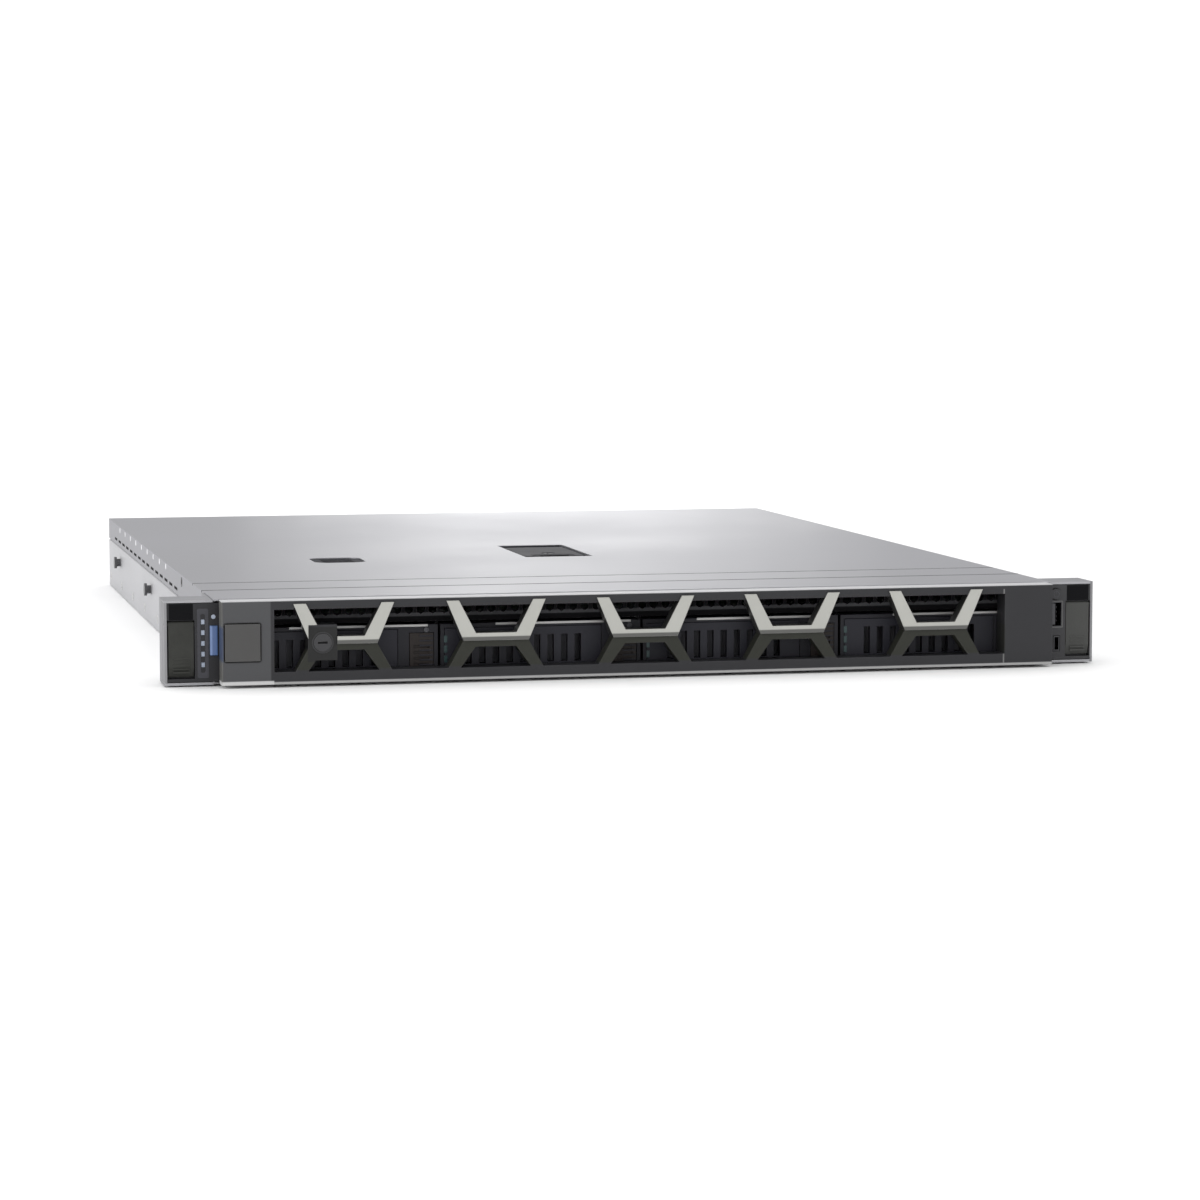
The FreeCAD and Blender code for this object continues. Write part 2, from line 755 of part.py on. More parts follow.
def slam_latch(side, label):
    """Flap over the captive screw: flips up about pins at its top end."""
    flap = Piece(label)
    width = middle(f"{side}*{SLAM_X}", "slam_width")
    flap.pad("YZ", width, rect(reach(f"{SLAM_PIVOT_Y}-slam_barrel", "slam_thick"),
                               ("slam_bottom", SLAM_PIVOT_Z)))
    flap.pad("YZ", width, disc(SLAM_PIVOT_Y, SLAM_PIVOT_Z, "slam_barrel"))
    flap.pad("YZ", middle(f"{side}*{SLAM_X}", "slam_width+2*slam_pin_reach"),
             disc(SLAM_PIVOT_Y, SLAM_PIVOT_Z, "slam_pin"))
    flap.pocket("YZ", middle(f"{side}*{SLAM_X}", "slam_width"), polygon(
        (f"{SLAM_PIVOT_Y}-slam_barrel", "slam_bottom"),
        (f"{SLAM_PIVOT_Y}-slam_barrel+slam_thick/2", "slam_bottom"),
        (f"{SLAM_PIVOT_Y}-slam_barrel", "slam_bottom+slam_grip_drop"),
    ))
    flap.done()


def rack_screw(side, label):
    """Captive thumb screw behind the flap, passing through the rack flange."""
    place = (f"{side}*{SCREW_X}", SCREW_Z)
    screw = Piece(label)
    head = f"{FLANGE}-ear_gauge-seat_gap-rack_head_long"
    screw.pad("XZ", reach(head, "rack_head_long"), disc(*place, "rack_head_radius"))
    screw.pad("XZ", (head, f"{FLANGE}+rack_screw_reach"), disc(*place, "rack_screw_radius"))
    screw.pocket("XZ", reach(head, "lock_slot"),
                 rect(middle(place[0], "rack_head_slot"), middle(place[1], "lock_slot")))
    screw.done()


def housing_block(side, label):
    """Moulded face of an ear with its lip over the case, its flap bay and screw passage."""
    housing = Piece(label)
    far = f"({RACK_SIDE}-ear_rim-seat_gap)"
    near = f"({SIDE}+ear_gauge+seat_gap)"
    up = (f"{FACE_UP[0]}+seat_gap", f"{FACE_UP[1]}-seat_gap")
    back = f"{FLANGE}-ear_gauge-seat_gap"
    housing.pad("XY", up, rect(outboard(side, near, far), (EAR, back)))
    housing.pad("XY", up, rect(outboard(side, f"{SIDE}-housing_lip", near), reach(EAR, "housing_lip_deep")))
    bay = middle(f"{side}*{SLAM_X}", "slam_width+2*slam_side_gap")
    housing.pocket("XZ", (EAR, f"{SLAM_PIVOT_Y}-slam_barrel+slam_thick+seat_gap"),
                   rect(bay, ("slam_bottom-gauge", "slam_bottom+slam_height+seat_gap")))
    housing.pocket("XZ", (EAR, back), disc(f"{side}*{SCREW_X}", SCREW_Z, "rack_head_radius+slam_side_gap"))
    housing.pocket("YZ", middle(f"{side}*{SLAM_X}", "slam_width+2*slam_pin_reach+4*seat_gap"),
                   disc(SLAM_PIVOT_Y, SLAM_PIVOT_Z, "slam_pin+running_gap"))
    return housing


# Columns of the controls across the two faces
LED_X = f"(-{SIDE}-led_out)"
ID_X = f"(-{SIDE}+id_in)"
POWER_X = f"({SIDE}+power_out)"
USB_X = f"({SIDE}+usb_out)"


def led_window(gap):
    """Outline of the lowest status light, with a gap round it."""
    return rect(middle(LED_X, f"led_width+2*({gap})"), middle("led_lowest", f"led_height+2*({gap})"))


def left_control_housing():
    """Left face: light column, and the bay of the identity bar in its lip."""
    housing = housing_block(-1, "left_control_housing")
    housing.pocket("XZ", (f"{EAR}+face_skin", f"{EAR}+face_skin+led_bar_deep+seat_gap"), rect(
        middle(LED_X, "led_bar_width+2*seat_gap"),
        ("led_lowest-led_pitch", "led_lowest+led_pitch*led_count")))
    hole = housing.pocket("XZ", reach(EAR, "face_skin"), led_window("seat_gap/2"))
    housing.row([hole], "Z", "led_pitch", "led_count")
    housing.pocket("XZ", reach(EAR, "housing_lip_deep-face_skin"),
                   rect(middle(ID_X, "id_width+2*seat_gap"),
                        middle("id_middle", "id_height+2*seat_gap")))
    housing.done()
    lights = Piece("status_light_pipe")
    lights.pad("XZ", reach(f"{EAR}+face_skin", "led_bar_deep"), rect(
        middle(LED_X, "led_bar_width"),
        ("led_lowest-led_pitch+seat_gap", "led_lowest+led_pitch*led_count-seat_gap")))
    peg = lights.pad("XZ", reach(EAR, "face_skin"), led_window("0"))
    lights.row([peg], "Z", "led_pitch", "led_count")
    lights.done()
    bar = Piece("system_id_button")
    bar.pad("XZ", (f"{EAR}-id_proud", f"{EAR}+housing_lip_deep-face_skin-id_travel-seat_gap"),
            rect(middle(ID_X, "id_width"), middle("id_middle", "id_height")))
    bar.round_edges("id_proud/2", lambda edge: abs(edge.BoundBox.YMax - value(f"{EAR}-id_proud")) < 0.01)
    bar.done()


def right_control_housing():
    """Right face: power button well, upright serial bus port and service port."""
    housing = housing_block(1, "right_control_housing")
    housing.pocket("XZ", reach(EAR, "face_skin+power_travel+seat_gap"),
                   disc(POWER_X, "power_middle", "power_radius+seat_gap"))
    housing.pocket("XZ", reach(EAR, "usb_deep+seat_gap"), rect(
        middle(USB_X, "usb_wide+2*seat_gap"), middle("usb_middle", "usb_tall+2*seat_gap")))
    housing.pocket("XZ", reach(EAR, "service_deep+seat_gap"), rect(
        middle(USB_X, "service_wide+2*seat_gap"), middle("service_middle", "service_tall+2*seat_gap")))
    for low in ("hinge_low", "hinge_high"):
        lug = reach(low, "hinge_lug_tall")
        housing.pad("XZ", (f"{HINGE_Y}-hinge_lug", f"{EAR}+hinge_lug"),
                    rect(middle(HINGE_X, "2*hinge_lug"), lug))
        housing.pad("XZ", reach(EAR, "hinge_lug"), rect((HINGE_X, f"{SIDE}-housing_lip/2"), lug))
        housing.pocket("XY", (f"{low}-seat_gap", f"{low}+hinge_lug_tall+seat_gap"),
                       disc(HINGE_X, HINGE_Y, "hinge_pin+running_gap"))
    housing.done()
    button = Piece("power_button")
    button.pad("XZ", (f"{EAR}-power_proud", f"{EAR}+face_skin"),
               disc(POWER_X, "power_middle", "power_radius"))
    button.done()
    port = Piece("front_usb_port")
    port.pad("XZ", reach(EAR, "usb_deep"), rect(middle(USB_X, "usb_wide"), middle("usb_middle", "usb_tall")))
    port.pocket("XZ", reach(EAR, "usb_deep-usb_wall"), rect(
        middle(USB_X, "usb_wide-2*usb_wall"), middle("usb_middle", "usb_tall-2*usb_wall")))
    port.pad("XZ", (f"{EAR}+face_skin", f"{EAR}+usb_deep-usb_wall"), rect(
        reach(f"{USB_X}-usb_wide/2+usb_wall+seat_gap", "usb_tongue"),
        middle("usb_middle", "usb_tall-4*usb_wall")))
    port.pad("XZ", (f"{EAR}+usb_deep-2*usb_wall", f"{EAR}+usb_deep"), rect(
        middle(USB_X, "usb_wide"), middle("usb_middle", "usb_tall")))
    port.done()
    service = Piece("front_service_port")
    service.pad("XZ", reach(EAR, "service_deep"), rect(
        middle(USB_X, "service_wide"), middle("service_middle", "service_tall")))
    service.pocket("XZ", reach(EAR, "service_deep-usb_wall"), rect(
        middle(USB_X, "service_wide-2*usb_wall"), middle("service_middle", "service_tall-2*usb_wall")))
    service.done()


# Bezel: its back plane, its hinge and the heights of its bars
BEZEL_BACK = f"({EAR}-bezel_back_gap)"
BEZEL_SIDE = f"({SIDE}-bezel_side_gap)"
HINGE_X = f"({BEZEL_SIDE}-hinge_in)"
HINGE_Y = f"({EAR}-hinge_ahead)"
WINDOW_UP = ("bezel_bottom+bottom_bar", "bezel_top-top_bar")
WINDOW = (f"-({BEZEL_SIDE}-bezel_end)", f"({BEZEL_SIDE}-bezel_end)")
KEY = (f"-({BEZEL_SIDE}-key_in)", "key_middle")
BUTTON = (f"-({BEZEL_SIDE}-button_in)", "button_middle")
STRUT_PITCH = f"(({WINDOW[1]}*2-strut_first-strut_last)/(strut_count-1))"


def strut_middle(index):
    """Middle of one strut unit across the bezel, counted from the left."""
    return f"({WINDOW[0]}+strut_first+{STRUT_PITCH}*{index})"


def bezel_frame():
    """Moulded bezel: hollow end panels, two bars and the dark lower legs of five strut units."""
    bezel = Piece("bezel_frame")
    bezel.pad("XZ", (BEZEL_FACE, BEZEL_BACK), rect(
        middle("0", f"2*{BEZEL_SIDE}"), ("bezel_bottom", "bezel_top")))
    bezel.round_edges("end_round", lambda edge: upright(edge, y=BEZEL_BACK))
    bezel.pocket("XZ", (BEZEL_FACE, BEZEL_BACK), rect(WINDOW, WINDOW_UP))
    behind = (f"{BEZEL_FACE}+2*bezel_wall", BEZEL_BACK)
    inside = ("bezel_bottom+bezel_wall", "bezel_top-bezel_wall")
    bezel.pocket("XZ", behind, rect((f"-({BEZEL_SIDE}-bezel_wall)", f"{WINDOW[0]}-bezel_wall"), inside),
                 rect((f"{WINDOW[1]}+bezel_wall", f"{BEZEL_SIDE}-bezel_wall"), inside))
    for index in range(int(value("strut_count"))):
        place = strut_middle(index)
        foot, waist = "strut_foot/2", "strut_waist/2"
        low, high = WINDOW_UP[0], "waist_bottom"
        bezel.pad("XZ", reach(BEZEL_FACE, "strut_deep"), polygon(
            (f"{place}-{foot}", low), (f"{place}-{foot}+strut_leg", low),
            (f"{place}-{waist}+strut_leg", f"{high}-strut_leg/2"),
            (f"{place}+{waist}-strut_leg", f"{high}-strut_leg/2"),
            (f"{place}+{foot}-strut_leg", low), (f"{place}+{foot}", low),
            (f"{place}+{waist}", high), (f"{place}-{waist}", high),
        ))
    bezel.pad("XZ", (BEZEL_FACE, BEZEL_BACK), rect(
        middle(KEY[0], "key_block_width"), middle(KEY[1], "key_block_height")))
    bezel.pocket("XZ", (BEZEL_FACE, BEZEL_BACK), disc(*KEY, "key_radius+running_gap"))
    bezel.pocket("XZ", reach(BEZEL_FACE, "4*bezel_wall+button_travel+seat_gap"), rect(
        middle(BUTTON[0], "button_width+2*button_gap"), middle(BUTTON[1], "button_height+2*button_gap")))
    for low in ("hinge_low", "hinge_high"):
        bezel.pad("XY", (f"{low}-bezel_wall-seat_gap", f"{low}-seat_gap"), rect(
            (f"{WINDOW[1]}+bezel_wall", f"{BEZEL_SIDE}-bezel_wall"),
            (f"{BEZEL_FACE}+2*bezel_wall", f"{BEZEL_BACK}-end_relief")))
        bezel.pocket("XY", (f"{low}-seat_gap", f"{low}+hinge_lug_tall+seat_gap"), rect(
            (HINGE_X, BEZEL_SIDE), (f"{HINGE_Y}-2*hinge_lug", BEZEL_BACK)))
        bezel.pad("XY", (f"{low}-seat_gap", f"{low}+hinge_lug_tall"), disc(HINGE_X, HINGE_Y, "hinge_pin"))
    bezel.done()


def bezel_hex_trim():
    """Bright upper halves of the five strut units, resting on the dark legs."""
    units = []
    for index in range(int(value("strut_count"))):
        trim = Piece(f"hex_trim_{index + 1}")
        place = strut_middle(index)
        mouth, waist = "strut_mouth/2", "strut_waist/2"
        low = "waist_bottom"

        def cup(high):
            lean = f"(({high}-{low})*({mouth}-{waist})/(trim_top-{low}))"
            edge = f"({waist}+{lean})"
            return polygon(
                (f"{place}-{waist}", low), (f"{place}+{waist}", low),
                (f"{place}+{edge}", high), (f"{place}+{edge}-strut_leg", high),
                (f"{place}+{waist}-strut_leg", f"{low}+waist_bar"),
                (f"{place}-{waist}+strut_leg", f"{low}+waist_bar"),
                (f"{place}-{edge}+strut_leg", high), (f"{place}-{edge}", high),
            )
        trim.pad("XZ", (FRONT, BEZEL_FACE), cup("trim_top"))
        trim.pad("XZ", reach(BEZEL_FACE, "strut_deep"), cup(WINDOW_UP[1]))
        if index == 0:
            trim.pocket("XZ", reach(FRONT, "trim_proud+strut_deep"), rect(
                middle(KEY[0], "key_block_width"), middle(KEY[1], "key_block_height")))
        units.append(trim.body)
    node(group("hex_trim_set", *units), "bezel_hex_trim")


def bezel_fittings():
    """Release button, the hook it works and the key lock with its cam."""
    button = Piece("bezel_release_button")
    button.pad("XZ", reach(f"{BEZEL_FACE}-button_proud", "button_proud+4*bezel_wall"), rect(
        middle(BUTTON[0], "button_width"), middle(BUTTON[1], "button_height")))
    button.pocket("XZ", reach(f"{BEZEL_FACE}+bezel_wall", "4*bezel_wall"), rect(
        middle(BUTTON[0], "button_width-2*bezel_wall"), middle(BUTTON[1], "button_height-2*bezel_wall")))
    button.done()
    lock = Piece("bezel_key_lock")
    lock.pad("XZ", (f"{BEZEL_FACE}-trim_proud/2", f"{BEZEL_BACK}-bezel_wall"), disc(*KEY, "key_radius"))
    lock.pocket("XZ", reach(f"{BEZEL_FACE}-trim_proud", "2*bezel_wall"), rect(
        middle(KEY[0], "key_slot_long"), middle(KEY[1], "key_slot_wide")))
    lock.done()


# Drive cage, with each bay's middle counted from the left
BAY = "((body_width-2*cage_in)/bay_count)"
CARRIER = f"({BAY}-carrier_gap)"
CAGE_HALF = f"(bay_count*{BAY}/2+divider/2)"
CAGE_FRONT = f"({TRAY_FRONT}+seat_gap)"
CAGE_BACK = f"({CAGE_FRONT}+cage_length)"
CARRIER_FRONT = f"({EAR}+carrier_set_back)"
CARRIER_LOW = "(gauge+seat_gap)"
BACKPLANE = f"({CAGE_BACK}-backplane_thick)"


def bay_middle(index):
    """Middle of one drive bay across the case."""
    return f"({BAY}*({index}-(bay_count-1)/2))"


def drive_cage():
    """Shelf over the four bays, the walls between them and the pierced strip above."""
    cage = Piece("drive_cage")
    across = (f"-{CAGE_HALF}", CAGE_HALF)
    shelf = ("shelf_height", "shelf_height+shelf_thick")
    cage.pad("XY", shelf, rect(across, (CAGE_FRONT, CAGE_BACK)))
    wall = cage.pad("XY", ("gauge", "shelf_height"),
                    rect(reach(across[0], "divider"), (CAGE_FRONT, f"{CAGE_BACK}-2*backplane_thick")))
    cage.row([wall], "X", BAY, "bay_count+1")
    top = f"{LID_UNDER}-seat_gap"
    cage.pad("XZ", reach(CAGE_FRONT, "shelf_thick"), rect(across, (shelf[1], top)))
    holes = []
    for index in range(2):
        offset = f"vent_pitch/2*{index}"
        height = f"{shelf[1]}+vent_pitch*({index}+1)-vent_side/4"
        holes.append(cage.pocket("XZ", reach(f"{CAGE_FRONT}-gauge", "shelf_thick+2*gauge"), hexagon(
            f"{across[0]}+vent_pitch+{offset}", height, "vent_side")))
    cage.row(holes, "X", "vent_pitch", f"floor(2*{CAGE_HALF}/vent_pitch)-2")
    cage.done()


def hexagon(x, y, across):
    """A hexagon with upright flats, by its width across them."""
    half = f"({across}/2)"
    corner = f"({across}/sqrt(3))"
    return polygon(
        (x, f"{y}+{corner}"), (f"{x}-{half}", f"{y}+{corner}/2"), (f"{x}-{half}", f"{y}-{corner}/2"),
        (x, f"{y}-{corner}"), (f"{x}+{half}", f"{y}-{corner}/2"), (f"{x}+{half}", f"{y}+{corner}/2"),
    )


def drive_carrier(index):
    """One drive carrier: a front frame with two side rails, and the button that frees its lever."""
    carrier = Piece(f"drive_carrier_{index + 1}")
    place = bay_middle(index)
    across = middle(place, CARRIER)
    up = reach(CARRIER_LOW, "carrier_height")
    carrier.pad("XZ", reach(CARRIER_FRONT, "carrier_front"), rect(across, up))
    carrier.pad("YZ", reach(across[0], "rail_gauge"), rect(
        reach(f"{CARRIER_FRONT}+carrier_front", "rail_length-carrier_front"), up))
    carrier.pad("YZ", (f"{across[1]}-rail_gauge", across[1]), rect(
        reach(f"{CARRIER_FRONT}+carrier_front", "rail_length-carrier_front"), up))
    lever = lever_spans(place)
    carrier.pocket("XZ", reach(CARRIER_FRONT, "lever_plate+seat_gap"), rect(
        grown(lever[0], "seat_gap"), grown(lever[1], "seat_gap")))
    carrier.pocket("XZ", reach(f"{CARRIER_FRONT}+lever_plate", "carrier_front-lever_plate"), rect(
        grown(lever[0], "-lever_plate"), grown(lever[1], "-lever_plate")))
    tab = tab_spans(place)
    carrier.pocket("XZ", reach(CARRIER_FRONT, "tab_travel+2*lever_plate"), rect(
        grown(tab[0], "seat_gap"), grown(tab[1], "seat_gap")))
    carrier.done()
    button = Piece(f"drive_button_{index + 1}")
    button.pad("XZ", reach(CARRIER_FRONT, "2*lever_plate-seat_gap"), rect(*tab))
    groove = button.pocket("XZ", reach(CARRIER_FRONT, "groove_deep"), rect(
        grown(tab[0], "-groove_in"), reach(f"{tab[1][0]}+groove_tall", "groove_tall")))
    button.row([groove], "Z", "groove_pitch", "groove_count")
    button.done()


def grown(ends, amount):
    """A span made longer at both ends."""
    return f"({ends[0]})-({amount})", f"({ends[1]})+({amount})"


def lever_spans(place):
    """Where the pierced lever of a carrier lies across and up."""
    margin = "(carrier_height-lever_tall)/2"
    wide = f"{CARRIER}-carrier_height+lever_tall-tab_wide-lever_tab_gap"
    return (reach(f"{place}-{CARRIER}/2+{margin}", wide),
            reach(f"{CARRIER_LOW}+{margin}", "lever_tall"))


def tab_spans(place):
    """Where the release button of a carrier lies across and up."""
    margin = "(carrier_height-lever_tall)/2"
    return (reach(f"{place}+{CARRIER}/2-{margin}-tab_wide", "tab_wide"),
            middle(f"{CARRIER_LOW}+carrier_height/2", "tab_tall"))


def drive_levers():
    """Pierced front levers of the four carriers, shut."""
    levers = []
    for index in range(int(value("bay_count"))):
        lever = Piece(f"drive_lever_{index + 1}")
        across, up = lever_spans(bay_middle(index))
        lever.pad("XZ", reach(CARRIER_FRONT, "lever_plate"), rect(across, up))
        slot = lever.pocket("XZ", reach(CARRIER_FRONT, "lever_plate"), rect(
            middle(f"({across[0]}+{across[1]})/2-slot_pitch*(slot_count-1)/2", "slot_width"),
            middle(f"{CARRIER_LOW}+carrier_height/2", "slot_tall")))
        lever.row([slot], "X", "slot_pitch", "slot_count")
        levers.append(lever.body)
    node(group("lever_set", *levers), "drive_levers")


def hard_drives():
    """Four drives, each between the rails of its carrier with its connector at the back."""
    drives = []
    for index in range(int(value("bay_count"))):
        place = bay_middle(index)
        start = f"{CARRIER_FRONT}+carrier_front"
        low = f"{CARRIER_LOW}+(carrier_height-drive_height)/2"
        case = block(f"drive_{index + 1}_case", middle(place, f"{BAY}-drive_gap"),
                     reach(start, "drive_length"), reach(low, "drive_height"))
        tail = block(f"drive_{index + 1}_tail", middle(f"{place}-connector_wide/2", "connector_wide"),
                     (f"{start}+drive_length", f"{BACKPLANE}-seat_gap"), reach(low, "connector_tall"))
        drives.append(fuse(f"drive_{index + 1}", case, tail))
    node(group("drive_set", *drives), "hard_drives")


def drive_backplane():
    """Board across the back of the cage, open above the drive connectors for the air."""
    board = Piece("drive_backplane")
    board.pad("XZ", reach(BACKPLANE, "backplane_thick"),
              rect(middle("0", f"bay_count*{BAY}"), ("gauge", "shelf_height-seat_gap")))
    gap = board.pocket("XZ", reach(BACKPLANE, "backplane_thick"), rect(
        middle(bay_middle(0), "air_gap_wide"), ("air_gap_low", "air_gap_high")))
    board.row([gap], "X", BAY, "bay_count")
    board.done()


# Fans stand behind their wall, which stands behind the cage
FAN_WALL = f"({EAR}+fan_wall_back)"
FAN_FRONT = f"({FAN_WALL}+gauge)"
FAN_Z = "(gauge+fan_size/2)"
FAN_PITCH = "((body_width-2*fan_in)/fan_count)"


def fan_middle(index):
    """Middle of one fan across the case."""
    return f"({FAN_PITCH}*({index}-(fan_count-1)/2))"


def fan_wall():
    """Wall across the case with a round opening ahead of each fan and a folded foot."""
    wall = Piece("fan_wall")
    half = f"({SIDE}-gauge-{JOGGLE}-seat_gap)"
    wall.pad("XZ", reach(FAN_WALL, "gauge"), rect((f"-{half}", half), ("gauge", WALL_TOP)))
    wall.pad("XZ", (f"{FAN_WALL}-fan_wall_foot", FAN_WALL), rect((f"-{half}", half), reach("gauge", "gauge")))
    hole = wall.pocket("XZ", reach(FAN_WALL, "gauge"), disc(fan_middle(0), FAN_Z, "fan_bore"))
    wall.row([hole], "X", FAN_PITCH, "fan_count")
    wall.done()


def fan_shell(label, x, front, z):
    """Square fan frame: round duct, four spokes and the cup that carries the rotor's shaft."""
    frame = Piece(label)
    frame.pad("XZ", reach(front, "fan_deep"), rect(middle(x, "fan_size"), middle(z, "fan_size")))
    frame.round_edges("frame_round", lambda edge: edge.BoundBox.YLength > value("fan_deep") - 0.01)
    frame.pocket("XZ", reach(front, "fan_deep"), disc(x, z, "fan_bore"))
    back = (f"{front}+fan_deep-motor_deep", f"{front}+fan_deep")
    frame.pad("XZ", back, rect(middle(x, "2*fan_bore+spoke_wide"), middle(z, "spoke_wide")))
    frame.pad("XZ", back, rect(middle(x, "spoke_wide"), middle(z, "2*fan_bore+spoke_wide")))
    frame.pad("XZ", back, disc(x, z, "fan_hub"))
    frame.pocket("XZ", back, disc(x, z, "fan_shaft+running_gap"))
    return frame


def fan_rotor(label, x, start, shaft_start, z):
    """Hub with twisted blades and the shaft that runs in the frame's cup."""
    shaft_long = "rotor_deep+seat_gap+motor_deep"
    hub = rod(f"{label}_hub", "Y", (x, start, z), "fan_hub", "rotor_deep")
    shaft = rod(f"{label}_shaft", "Y", (x, shaft_start, z), "fan_shaft", shaft_long)
    parts = [hub, shaft]
    count = int(value("blade_count"))
    for index in range(count):
        blade = doc.addObject("Part::Box", f"{label}_blade_{index + 1}")
        turn = FreeCAD.Rotation(FreeCAD.Vector(0, 1, 0), 360 / count * index)
        twist = FreeCAD.Rotation(FreeCAD.Vector(0, 0, 1), value("blade_twist"))
        blade.Placement = FreeCAD.Placement(FreeCAD.Vector(), turn.multiply(twist))
        middle_back = f"({start}+rotor_deep/2)"
        corner = FreeCAD.Vector(-value("blade_thick") / 2, -value("rotor_deep") / 2, 0)
        shift = turn.multiply(twist).multVec(corner)
        tie(blade, "Placement.Base.x", f"{x}+({shift.x})")
        tie(blade, "Placement.Base.y", f"{middle_back}+({shift.y})")
        tie(blade, "Placement.Base.z", f"{z}+({shift.z})")
        tie(blade, "Length", "blade_thick")
        tie(blade, "Width", "rotor_deep")
        tie(blade, "Height", "blade_reach")
        parts.append(blade)
    node(fuse(f"{label}_whole", *parts), label)


def fans():
    """The row of case fans, each rotor's shaft running in the cup behind it."""
    start = f"{FAN_FRONT}+fan_deep-motor_deep-seat_gap-rotor_deep"
    frames = []
    for index in range(int(value("fan_count"))):
        frames.append(fan_shell(f"fan_shell_{index + 1}", fan_middle(index), FAN_FRONT, FAN_Z).body)
        fan_rotor(f"fan_rotor_{index + 1}", fan_middle(index), start, start, FAN_Z)
    node(group("fan_frame_set", *frames), "fan_frames")


# Power supply stands in the rear left corner
PSU_X = (f"-({SIDE}-psu_side_gap)", f"-({SIDE}-psu_side_gap)+psu_width")
PSU_BACK = f"({REAR}-gauge)"
PSU_FRONT = f"({PSU_BACK}-psu_length)"
PSU_UP = ("gauge", "gauge+psu_height")
PSU_FAN_X = f"({PSU_X[0]}+psu_gauge+seat_gap+fan_size/2)"
PSU_FAN_Z = "(gauge+psu_height/2)"
INLET_X = f"({PSU_X[1]}-psu_gauge-inlet_wide/2-4*seat_gap)"


def psu_case():
    """Folded box with a ring guard over its fan, a cut-out for the inlet and front vents."""
    case = Piece("psu_case")
    case.pad("XY", PSU_UP, rect(PSU_X, (PSU_FRONT, PSU_BACK)))
    case.pocket("XY", grown(PSU_UP, "-psu_gauge"), rect(grown(PSU_X, "-psu_gauge"),
                                                        (f"{PSU_FRONT}+psu_gauge", f"{PSU_BACK}-psu_gauge")))
    rear = (f"{PSU_BACK}-psu_gauge", PSU_BACK)
    rings = []
    for index in range(int(value("guard_count"))):
        edge = f"(fan_bore-guard_pitch*{index})"
        rings.append(disc(PSU_FAN_X, PSU_FAN_Z, edge))
        rings.append(disc(PSU_FAN_X, PSU_FAN_Z, f"({edge}-guard_pitch+guard_ring)"))
    case.pocket("XZ", rear, *rings)
    case.pad("XZ", rear, rect(middle(PSU_FAN_X, "2*fan_bore+guard_ring"), middle(PSU_FAN_Z, "guard_ring")))
    case.pad("XZ", rear, rect(middle(PSU_FAN_X, "guard_ring"), middle(PSU_FAN_Z, "2*fan_bore-guard_ring")))
    case.pocket("XZ", rear, rect(middle(INLET_X, "inlet_wide-2*inlet_flange"),
                                 middle(PSU_FAN_Z, "inlet_tall-2*inlet_flange")))
    slot = case.pocket("XZ", reach(PSU_FRONT, "psu_gauge"), rect(
        middle(f"{PSU_X[0]}+slot_pitch", "slot_width"), middle(PSU_FAN_Z, "psu_slot_tall")))
    case.row([slot], "X", "slot_pitch", "floor(psu_width/slot_pitch)-1")
    case.done()


